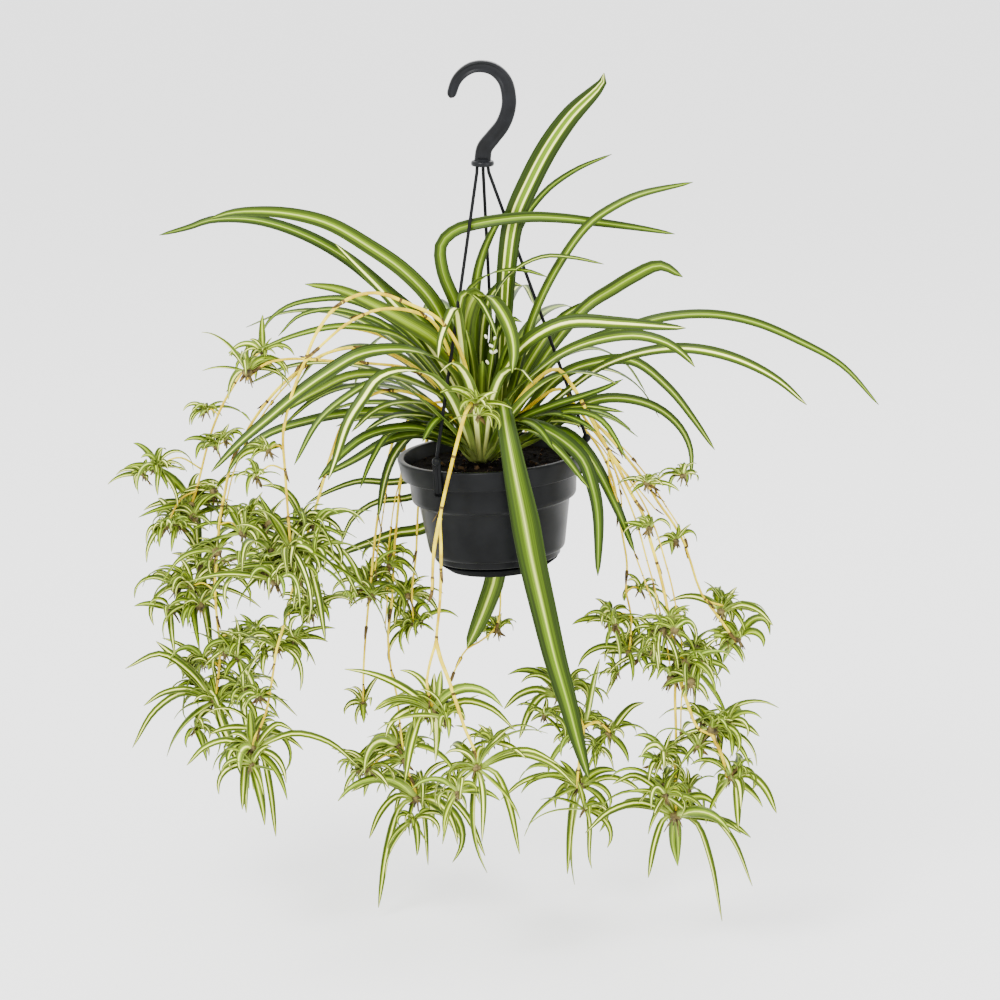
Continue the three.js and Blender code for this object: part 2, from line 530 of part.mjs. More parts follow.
// A strand runs from its socket in the collar to a flat clip that grips under the rim band.
function strandBody(place, grow) {
  const [x, y, turn] = SOCKETS[place];
  const [s, c] = [Math.sin(rad(turn)), Math.cos(rad(turn))];
  const radius = RIM_RADIUS + GAP + CLIP.thick / 2;
  const onPot = (reach, z) => fromPot(reach * s, -reach * c, z);
  const { bottom } = COLLAR;
  const line = new THREE.LineCurve3(vec(x, y, bottom - 1), onPot(radius, CLIP.above));
  const upper = new THREE.LineCurve3(vec(x, y, bottom + STRAND.socket - GAP), vec(x, y, bottom - 2));
  const thick = () => STRAND.thick / 2;
  const parts = [line, upper].map((way) => solid(stem(way, 1, STRAND.sides, thick, way === line ? grow : 0)));
  const clipBox = (wide, deep, tall, reach, z) => intoWorld(
    new THREE.BoxGeometry(wide + 2 * grow, deep + 2 * grow, tall + 2 * grow)
      .translate(0, -reach, z).rotateZ(rad(turn)));
  parts.push(solid(clipBox(CLIP.wide, CLIP.thick, CLIP.above + CLIP.below, radius,
    (CLIP.above - CLIP.below) / 2)));
  const toeTall = CLIP.below - RIM_BAND - GAP;
  parts.push(solid(clipBox(CLIP.wide, CLIP.toe, toeTall, radius + CLIP.thick / 2 - CLIP.toe / 2,
    -CLIP.below + toeTall / 2)));
  const knob = new THREE.SphereGeometry(CLIP.knob + grow, 6, 4).rotateX(Math.PI / 2)
    .translate(0, -radius, CLIP.above).rotateZ(rad(turn));
  parts.push(solid(intoWorld(knob)));
  return Manifold.union(parts);
}

// A strap leaf: an arched blade with a flat upper face and a keel below.
function bladeRing(centre, ahead, across, wide, deep, grow) {
  const face = across.clone().cross(ahead).normalize();
  const out = (u, v) => centre.clone().addScaledVector(across, u).addScaledVector(face, v);
  return [out(-wide / 2 - grow, grow), out(wide / 2 + grow, grow), out(0, -deep - grow)];
}

// An arc that leaves `root` at a compass turn and a rise, and falls by `bend` along its length.
const STEEPEST = -87;
function arc(root, compass, rise, length, bend, steps) {
  const way = [root.clone()];
  for (let i = 0; i < steps; i += 1) {
    const fall = Math.max(STEEPEST, rise - bend * ((i + 0.5) / steps) ** 1.2);
    const flat = (length / steps) * Math.cos(rad(fall));
    const lift = (length / steps) * Math.sin(rad(fall));
    way.push(way[i].clone().add(vec(flat * Math.cos(rad(compass)), flat * Math.sin(rad(compass)), lift)));
  }
  return way;
}

function strapLeaf(way, wide, turn, grow = 0) {
  const out = vec(way[0].x - CROWN_FOOT.x, way[0].y - CROWN_FOOT.y, 0);
  out.setLength(Math.min(out.length(), CROWN.radius * 0.5));
  const root = CROWN_FOOT.clone().add(out).add(vec(0, 0, 5));
  const curve = new THREE.CatmullRomCurve3([root, ...way], false, 'centripetal');
  const tip = way[way.length - 1];
  const far = tip.clone().sub(CROWN_FOOT).setZ(0).normalize();
  const stations = way.length > 8 ? LONG_LEAF_STATIONS : LEAF_STATIONS;
  const rings = [];
  for (let i = 0; i < stations; i += 1) {
    const along = i / stations;
    const centre = curve.getPointAt(along);
    const ahead = curve.getTangentAt(along);
    const outward = centre.clone().sub(CROWN_FOOT).setZ(0);
    if (outward.length() < CROWN.radius) outward.copy(far);
    outward.normalize();
    const across = outward.clone().cross(UP);
    across.addScaledVector(ahead, -across.dot(ahead)).normalize();
    across.applyAxisAngle(ahead, rad(turn) * Math.max(-1, Math.min(1, outward.x * 1.6)));
    const w = wide * Math.min(1, 0.36 + along * 2.4) * Math.sqrt(1 - along ** 3);
    const keel = Math.max(LEAF_KEEL.least, w * LEAF_KEEL.share);
    rings.push(bladeRing(centre, ahead, across, w, keel, grow));
  }
  rings.push([tip]);
  return solid(loft(rings));
}

// The rosette: a crown that stands in the soil, the measured leaves, and leaves that fill the
// back, the sides and the middle by rule.
const crownBody = (grow) => solid(lathe([
  [0, -CROWN.below - grow], [CROWN.radius * 0.8 + grow, -CROWN.below - grow],
  [CROWN.radius + grow, -4], [CROWN.radius + grow, 4], [CROWN.radius * 0.75 + grow, CROWN.above * 0.7],
  [CROWN.radius * 0.35 + grow, CROWN.above + grow], [0, CROWN.above + grow],
], CROWN.sides).translate(CROWN.x, CROWN.y, -SOIL_DEPTH).applyMatrix4(potFrame.matrixWorld));

// Filling leaves: first and last compass turn, count, length, rise, bend and width.
const FILLERS = [
  [18, 165, 8, 300, 62, 118, 13],
  [30, 150, 5, 215, 74, 96, 12],
  [-22, 22, 3, 250, 50, 96, 12],
  [160, 205, 3, 260, 52, 104, 12],
  [200, 340, 5, 150, 64, 128, 13],
];

function fillingLeaves() {
  const ways = [];
  FILLERS.forEach(([from, to, count, length, rise, bend, wide], set) => {
    for (let k = 0; k < count; k += 1) {
      const seed = set * 20 + k + 1;
      const compass = THREE.MathUtils.lerp(from, to, (k + 0.5) / count) + 12 * (draw(seed, 1) - 0.5);
      const long = length * (0.8 + 0.4 * draw(seed, 2));
      const up = rise + 16 * (draw(seed, 3) - 0.5);
      const start = CROWN_FOOT.clone().add(vec(Math.cos(rad(compass)), Math.sin(rad(compass)), 0)
        .multiplyScalar(CROWN.radius / 2)).add(vec(0, 0, 16));
      ways.push([arc(start, compass, up, long, bend * (0.85 + 0.3 * draw(seed, 4)), 6), wide]);
    }
  });
  return ways;
}

function rosetteBody(keptClear) {
  const leaves = MOTHER_LEAVES
    .map(([wide, turn, points]) => strapLeaf(withDepths(points).map(seen), wide, turn));
  for (const [way, wide] of fillingLeaves()) leaves.push(strapLeaf(way.slice(1), wide, 15));
  return tidied(Manifold.union([crownBody(0), ...leaves]).subtract(Manifold.union(keptClear)));
}

// Runners: straw-coloured stems that leave the crown, arch over the rim and hang, forked or
// joined at knots, with a short stalk to each plantlet that grows beside them.

function runnerCurves([, , , stems]) {
  return stems.map((points) => {
    const way = withDepths(points).map(seen);
    const fromCrown = way[0].distanceTo(CROWN_FOOT) < CROWN.radius * 3;
    if (fromCrown) {
      const out = vec(way[0].x - CROWN_FOOT.x, way[0].y - CROWN_FOOT.y, 0);
      out.setLength(Math.min(out.length(), CROWN.radius * 0.6));
      way.unshift(CROWN_FOOT.clone().add(out).add(vec(0, 0, 8)));
    }
    return new THREE.CatmullRomCurve3(way, false, 'centripetal');
  });
}

const runnerSteps = (curve) => Math.min(16, Math.ceil(curve.getLength() / RUNNER_STEP));

// The point of a runner's straight-sided stem at a part of its length from 0 to 1.
function stemPoint(curve, along) {
  const steps = runnerSteps(curve);
  const before = Math.min(steps - 1, Math.floor(along * steps));
  const after = curve.getPointAt((before + 1) / steps);
  return curve.getPointAt(before / steps).lerp(after, along * steps - before);
}

// Where a plantlet sits: close beside its runner, or further off at the end of a stalk. `toward`
// points from its core to what carries it.
function seat(plantlet, runner, curves) {
  const [, across, up, aside, radius] = plantlet;
  const [, thick, thin] = runner;
  let best = null;
  for (const curve of curves) {
    for (let i = 20; i <= 117; i += 1) {
      const at = stemPoint(curve, i / 120);
      const core = seen([across, up, at.y + aside]);
      const apart = Math.hypot(core.x - at.x, core.z - at.z);
      if (!best || apart < best.apart) best = { apart, at, core, curve, along: i / 120 };
    }
  }
  const { at, core, curve, along } = best;
  const size = coreSize(radius);
  const reach = CORE_INNER * size + GAP + 0.05;
  const thickness = THREE.MathUtils.lerp(thick, thin, along);
  if (core.distanceTo(at) > 2 * size + thickness) {
    const toward = at.clone().sub(core).normalize().add(vec(0, 0, 0.5)).normalize();
    return { core, toward, stalkFrom: at, stalkTo: core.clone().addScaledVector(toward, reach) };
  }
  const ahead = curve.getTangentAt(along);
  const out = core.clone().sub(at).add(vec(at.x - POT_RIM.x, at.y, 0).setLength(2));
  out.addScaledVector(ahead, -out.dot(ahead)).normalize();
  return { core: at.clone().addScaledVector(out, reach + thickness), toward: out.negate(), stalkFrom: null };
}

function runnerBody(runner, curves, seats, grow) {
  const [, thick, thin] = runner;
  const parts = curves.map((curve) => {
    const radiusAt = (along) => THREE.MathUtils.lerp(thick, thin, along);
    return solid(stem(curve, runnerSteps(curve), RUNNER_SIDES, radiusAt, grow));
  });
  for (const { toward, stalkFrom, stalkTo } of seats) {
    if (!stalkFrom) continue;
    const middle = stalkTo.clone().addScaledVector(toward, stalkFrom.distanceTo(stalkTo) * 0.45);
    const curve = new THREE.QuadraticBezierCurve3(stalkFrom, middle, stalkTo);
    parts.push(solid(stem(curve, 3, RUNNER_SIDES, () => STALK_RADIUS, grow)));
  }
  return largest(Manifold.union(parts).subtract(crownBody(CLEAR - grow)));
}

// A plantlet: a small twenty-faced core with a short arched blade drawn out of each of its
// upper and outer faces.
const coreSize = (radius) => 3.8 + radius * 0.03;
const coreShape = new THREE.IcosahedronGeometry(1, 0);
coreShape.deleteAttribute('normal');
coreShape.deleteAttribute('uv');
const CORE = mergeVertices(coreShape, 1e-4);
const CORE_POINTS = [...Array(CORE.attributes.position.count).keys()]
  .map((i) => new THREE.Vector3().fromBufferAttribute(CORE.attributes.position, i));
const CORE_FACES = [...Array(CORE.index.count / 3).keys()]
  .map((i) => [0, 1, 2].map((k) => CORE.index.getX(3 * i + k)));
const faceMiddle = (face, points) => face
  .reduce((sum, i) => sum.add(points[i]), vec(0, 0, 0)).divideScalar(3);

// The rings of an arched blade after its root, the last of them its tip.
function bladeRings(way, wide, grow) {
  const curve = new THREE.CatmullRomCurve3(way, false, 'centripetal');
  const tip = way[way.length - 1];
  const flat = vec(tip.x - way[0].x, tip.y - way[0].y, 0).normalize();
  const rings = [];
  for (let i = 1; i < way.length - 1; i += 1) {
    const along = i / (way.length - 1);
    const ahead = curve.getTangentAt(along);
    const across = flat.clone().cross(UP);
    across.addScaledVector(ahead, -across.dot(ahead)).normalize();
    const w = wide * (1 - along ** 3);
    const keel = Math.max(BLADE_KEEL.least, w * BLADE_KEEL.share);
    rings.push(bladeRing(curve.getPointAt(along), ahead, across, w, keel, grow));
  }
  return [...rings, [tip]];
}

// A plantlet's blades: from each chosen face of the turned core, the highest first. Each blade
// is given in every bend that it may be tried in.
function bladePlans(plantlet, index, core, points) {
  const [, , , , radius, hang, count] = plantlet;
  const faces = CORE_FACES.map((face) => ({ face, out: faceMiddle(face, points).sub(core).normalize() }))
    .filter(({ out }, k) => k > 0 && out.z > -0.35 - hang)
    .sort((a, b) => b.out.z - a.out.z)
    .slice(0, count);
  const long = new Map();
  for (const [owner, across, up, wide] of LONG_BLADES) {
    if (owner !== index) continue;
    const want = vec(across, 0, up * 0.5).normalize();
    const nearest = faces.reduce((best, one) => (one.out.dot(want) > best.out.dot(want) ? one : best));
    if (!long.has(nearest.face)) long.set(nearest.face, { across, up, wide });
  }
  return faces.map(({ face, out }, k) => {
    const seed = index * 31 + k + 7;
    const root = faceMiddle(face, points);
    if (long.has(face)) {
      const { across, up, wide } = long.get(face);
      const at = (part, drop) => root.clone().add(vec(across * part, 0.1 * across * part, up * drop));
      return { face, ways: [[root, at(0.36, 0.12), at(0.72, 0.46), at(1, 1)]], wide };
    }
    const compass = THREE.MathUtils.radToDeg(Math.atan2(out.y, out.x));
    const rise = THREE.MathUtils.radToDeg(Math.asin(out.z)) + 22 - 34 * hang;
    const length = radius * (0.85 + 0.4 * draw(seed, 3));
    const bend = 58 + 56 * draw(seed, 4);
    const steps = radius > 65 ? BLADE_STATIONS + 1 : BLADE_STATIONS;
    const ways = SHIFTS.map(([turn, fall]) => arc(root, compass + turn, rise, length, bend + fall, steps));
    return { face, ways, wide: (3.4 + radius * 0.045) * (0.85 + 0.3 * draw(seed, 5)) };
  });
}

// Turns and extra bends, in the order a blade tries them to stay clear of what is near it.
const SHIFTS = [[0, 0], [9, 0], [-9, 0], [0, 30], [0, -30], [17, 0], [-17, 0], [12, 30], [-12, -30]];

// Whether two bodies share any space.
const meets = (a, b) => {
  const [p, q] = [a.boundingBox(), b.boundingBox()];
  for (let i = 0; i < 3; i += 1) if (p.min[i] > q.max[i] || q.min[i] > p.max[i]) return false;
  return !a.intersect(b).isEmpty();
};

// A blade of its own from just above its root, a gap larger all round, to test its way with.
function grownBlade(way, wide) {
  const ahead = way[1].clone().sub(way[0]).normalize();
  const across = ahead.clone().cross(UP).normalize();
  const root = bladeRing(way[0].clone().lerp(way[1], 0.2), ahead, across, 3, 1, GAP);
  return solid(loft([root, ...bladeRings(way, wide, GAP)]));
}

function plantletBody(plantlet, index, { core, toward }, others) {
  const size = coreSize(plantlet[4]);
  const seatFace = faceMiddle(CORE_FACES[0], CORE_POINTS).normalize();
  const turned = new THREE.Quaternion().setFromUnitVectors(seatFace, toward)
    .premultiply(new THREE.Quaternion().setFromAxisAngle(toward, 2 * Math.PI * draw(index, 3)));
  const points = CORE_POINTS.map((p) => p.clone().multiplyScalar(size).applyQuaternion(turned).add(core));
  const drawn = new Map();
  const done = [...others];
  for (const { face, ways, wide } of bladePlans(plantlet, index, core, points)) {
    const way = ways.find((one) => !done.some((other) => meets(grownBlade(one, wide), other)));
    if (!way) continue;
    done.push(grownBlade(way, wide));
    drawn.set(face, bladeRings(way, wide, 0));
  }
  const faces = [];
  for (const face of CORE_FACES) {
    if (!drawn.has(face)) {
      faces.push(face);
      continue;
    }
    let last = face;
    for (const ring of drawn.get(face)) {
      const start = points.length;
      points.push(...ring);
      if (ring.length === 1) {
        for (let k = 0; k < 3; k += 1) faces.push([last[k], last[(k + 1) % 3], start]);
        continue;
      }
      const miss = (shift) => last
        .reduce((sum, p, k) => sum + points[p].distanceTo(ring[(k + shift) % 3]), 0);
      const shift = [0, 1, 2].sort((p, q) => miss(p) - miss(q))[0];
      const next = [0, 1, 2].map((k) => start + ((k + shift) % 3));
      for (let k = 0; k < 3; k += 1) {
        faces.push([last[k], last[(k + 1) % 3], next[(k + 1) % 3]], [last[k], next[(k + 1) % 3], next[k]]);
      }
      last = next;
    }
  }
  const geometry = new THREE.BufferGeometry().setFromPoints(points);
  geometry.setIndex(faces.flat());
  return solid(geometry);
}

// Assembly.
const plantGroup = new THREE.Group();
const potGroup = new THREE.Group();
potGroup.position.copy(potFrame.position);
potGroup.rotation.copy(potFrame.rotation);
plantGroup.add(potGroup);

function place(name, geometry, material, group = plantGroup) {
  const shaded = geometry.clone();
  shaded.computeVertexNormals();
  const mesh = new THREE.Mesh(shaded, material);
  mesh.name = name;
  group.add(mesh);
}

place('pot', pot(), BLACK_PLASTIC, potGroup);
place('drip_saucer', dripSaucer(), BLACK_PLASTIC, potGroup);
place('potting_soil', pottingSoil(), SOIL, potGroup);
place('hanger_hook', hangerHook(), BLACK_PLASTIC);

const strands = Object.keys(SOCKETS).map((name) => {
  const body = strandBody(name, 0);
  place(`hanger_strand_${name}`, surface(body), BLACK_PLASTIC);
  return { body, grown: strandBody(name, CLEAR) };
});

const runners = RUNNERS.map((runner) => {
  const curves = runnerCurves(runner);
  const seats = new Map();
  PLANTLETS.forEach((plantlet, index) => {
    if (plantlet[0] === runner[0]) seats.set(index, seat(plantlet, runner, curves));
  });
  const body = tidied(runnerBody(runner, curves, [...seats.values()], 0), FINEST_RUNNER);
  const grown = runnerBody(runner, curves, [...seats.values()], CLEAR);
  place(`runner_${runner[0]}`, surface(body), STRAW);
  return { name: runner[0], body, grown, seats };
});

const keptClear = [...strands, ...runners].map(({ grown }) => grown);
const rosette = rosetteBody(keptClear);
place('mother_rosette', surface(rosette), LEAF_GREEN);

// Plantlets that grow into each other are one body; the rest are bent clear of each other.
const potSolid = solid(intoWorld(pot()));
const tufts = [];
for (const { name, seats } of runners) {
  for (const [index, held] of seats) {
    const apart = (tuft) => tuft.runner !== name
      || tuft.cores.every((at) => at.distanceTo(held.core) > NEIGHBOUR);
    const others = [potSolid, rosette, ...strands.map((s) => s.body), ...runners.map((r) => r.body),
      ...tufts.filter(apart).map((tuft) => tuft.body)];
    const own = plantletBody(PLANTLETS[index], index, held, others);
    let tuft = { runner: name, cores: [held.core], body: own };
    for (const other of [...tufts]) {
      const joined = other.runner === name && !apart(other);
      if (!joined && !meets(other.body, tuft.body)) continue;
      const parts = [other.body, tuft.body];
      if (joined) {
        const near = other.cores.find((at) => at.distanceTo(held.core) <= NEIGHBOUR);
        const middle = held.core.clone().lerp(near, 0.5).add(vec(0, 0, 3));
        const way = new THREE.QuadraticBezierCurve3(held.core, middle, near);
        parts.push(solid(stem(way, 2, 3, () => LINK_RADIUS)));
      }
      tuft = { runner: other.runner, cores: [...other.cores, ...tuft.cores], body: Manifold.union(parts) };
      tufts.splice(tufts.indexOf(other), 1);
    }
    tufts.push(tuft);
  }
}

const counts = {};
for (const { runner, body: grownTogether } of tufts) {
  const body = keptClear.filter((kept) => meets(kept, grownTogether))
    .reduce((left, kept) => left.subtract(kept), grownTogether);
  counts[runner] = (counts[runner] ?? 0) + 1;
  place(`plantlets_${runner}_${counts[runner]}`, surface(tidied(body)), YOUNG_GREEN);
}

export default plantGroup;
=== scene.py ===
# A spider plant with its runners and plantlets, in a black hanging pot on a three-strand hanger.
# Lengths in the lists are millimetres from the seat in the top of the hook; the meshes are metres.
import math
from itertools import accumulate

import bmesh
import bpy
from mathutils import Matrix, Quaternion, Vector, noise


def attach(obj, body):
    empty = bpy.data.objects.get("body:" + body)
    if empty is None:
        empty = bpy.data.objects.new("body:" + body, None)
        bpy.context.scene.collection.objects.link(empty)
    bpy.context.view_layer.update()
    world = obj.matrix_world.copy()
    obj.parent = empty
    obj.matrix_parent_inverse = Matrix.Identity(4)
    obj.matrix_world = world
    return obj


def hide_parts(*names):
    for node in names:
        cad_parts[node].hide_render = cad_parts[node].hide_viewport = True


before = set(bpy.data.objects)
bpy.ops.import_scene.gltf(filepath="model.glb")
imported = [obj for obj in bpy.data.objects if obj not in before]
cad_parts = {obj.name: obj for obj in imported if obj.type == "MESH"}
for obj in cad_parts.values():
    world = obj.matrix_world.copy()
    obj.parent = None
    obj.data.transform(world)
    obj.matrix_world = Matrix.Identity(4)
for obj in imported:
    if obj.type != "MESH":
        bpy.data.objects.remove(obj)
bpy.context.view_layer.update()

MM = 0.001
UP = Vector((0, 0, 1))
# Lengths this short count as none.
TINY = 1e-6

# Leaves and runners are measured in a front elevation drawn from 13 degrees above and 5 m away.
TILT = math.radians(13)
TO_FRONT = Vector((0, -math.cos(TILT), math.sin(TILT)))
DISTANCE = 5000
MID_ACROSS = 18
MID_UP = -428
MID_HEIGHT = -430.75

# Pot, soil and hanger. Each lump of the soil is a height and a number of waves to the millimetre.
# The collar closes the foot of the hook, and the strands end in it.
POT_RIM = Vector((9.6, 0, -381.6))
POT_TILT = -3.4
RIM_RADIUS = 94.4
RIM_BAND = 20
SOIL_DEPTH = 12
SOIL_RADIUS = 83.4
SOIL_LUMPS = ((2.4, 0.06), (1.5, 0.2), (1.1, 0.55))
SOIL_GRID = 96
BARK_CHIPS = 64
CROWN = {"x": -11, "y": 6, "radius": 23}
POT_FRAME = Matrix.Translation(POT_RIM) @ Matrix.Rotation(math.radians(POT_TILT), 4, "Y")
CROWN_FOOT = POT_FRAME @ Vector((CROWN["x"], CROWN["y"], -SOIL_DEPTH))
COLLAR = {"x": 0.8, "top": -88, "bottom": -93}
STRAND_THICK = 3.4
CLIP = {"wide": 9, "thick": 2.2, "above": 11, "below": 24.5, "toe": 9.5, "knob": 4.4}
# Where each strand enters the collar, and the compass turn of its clip around the rim.
SOCKETS = {"front": [-4.2, -3, -34], "right": [5.4, -0.6, 84], "back": [1.2, 3.6, 177]}

# The hook is a flat moulded bar with raised rounded edges, bent to a question mark.
HOOK_THICK = 11
HOOK_STEPS = 76
HOOK_LINE = [[-31, -26], [-24, -7], [-12, 3.4], [0.3, 5.7], [12.4, 2.3], [22.9, -8.8],
             [26.9, -27.5], [25.2, -40.3], [20, -52.8], [10.7, -64.8], [2.7, -75.6], [0.8, -88]]
HOOK_WIDTHS = [[0, 8.6], [0.03, 9.8], [0.25, 11.4], [0.5, 14.4], [0.75, 15], [1, 16.6]]
HOOK_EDGE = [[-1, 0], [-0.99, 0.42], [-0.93, 0.76], [-0.82, 0.95], [-0.7, 1], [-0.58, 0.94], [-0.48, 0.82],
             [-0.36, 0.75], [0, 0.73]]
HOOK_SECTION = [*HOOK_EDGE, *[[-x, y] for x, y in reversed(HOOK_EDGE[:-1])]]
HOOK_SECTION += [[-x, -y] for x, y in HOOK_SECTION[1:]]

# Turned profiles, as [radius, height] from the rim of the pot.
POT_PROFILE = [
    [0, -106], [30, -105.6], [61.5, -106], [63, -104.8], [63.2, -99.4], [66.8, -98.4], [68, -96.4],
    [68.6, -93.6], [72, -71.5], [75.6, -48.4], [77.4, -46.2], [81.2, -45], [82.2, -43.4], [82.6, -40],
    [84, -RIM_BAND - 0.4], [90.6, -RIM_BAND], [91.2, -RIM_BAND + 1.2], [92.9, -9], [94.2, -3.2],
    [RIM_RADIUS, -1.4], [93.6, -0.2], [92, 0], [89.6, 0], [88.4, -0.4], [87.4, -2.4], [82.4, -RIM_BAND],
    [80.4, -42], [74.6, -48], [66.6, -93], [60.8, -99], [60.4, -103.4], [0, -103.4],
]
SAUCER_PROFILE = [
    [0, -117], [46, -117], [49.6, -116.4], [52.5, -114.2], [60.2, -108.7], [60.4, -107.9], [59.4, -107.7],
    [58.4, -108.2], [51, -113.4], [48, -115], [36.4, -115], [36, -114.6], [36, -106.3], [33, -106.3],
    [33, -114.6], [32.6, -115], [0, -115],
]

# Mother leaves and plantlet blades: the distance between stations along a leaf, the fewest of
# them, and those of a blade; how thick each is; and in degrees how steeply each may fall and how
# far each blade of a head is turned from the last. ARC_STEPS is for those placed by rule.
LEAF_STEP = 9
FEWEST_STATIONS = 18
BLADE_STATIONS = 12
LEAF_THICK = 0.5
BLADE_THICK = 0.45
STEEPEST = -87
STEEPEST_BLADE = -120
GOLDEN_ANGLE = 137.5
ARC_STEPS = 6

# Runners: how far an end stands out, as a share of the radius; the steps in which a plantlet's
# seat is looked for, and the first and last of them; the distance from joint to joint; and the
# height of the cells by which stems are looked up.
STEM_CAP = 0.4
SEAT_STEPS = 120
SEAT_FROM, SEAT_TO = 20, 117
JOINT_EVERY = 62
STEM_CELL = 4

# The studio: the height and size of the floor in millimetres and metres, the light of the room,
# the lens, and each lamp with its place, size and watts.
FLOOR = -893
FLOOR_SIZE = 40
WORLD = 2.6
LENS = 180
LIGHTS = [
    ["key", (-1.4, -2.6, 2.6), 1.6, 210],
    ["fill", (2.6, -2.2, 0.9), 1.6, 50],
    ["back", (0.6, 2.6, 1.6), 1.6, 30],
]

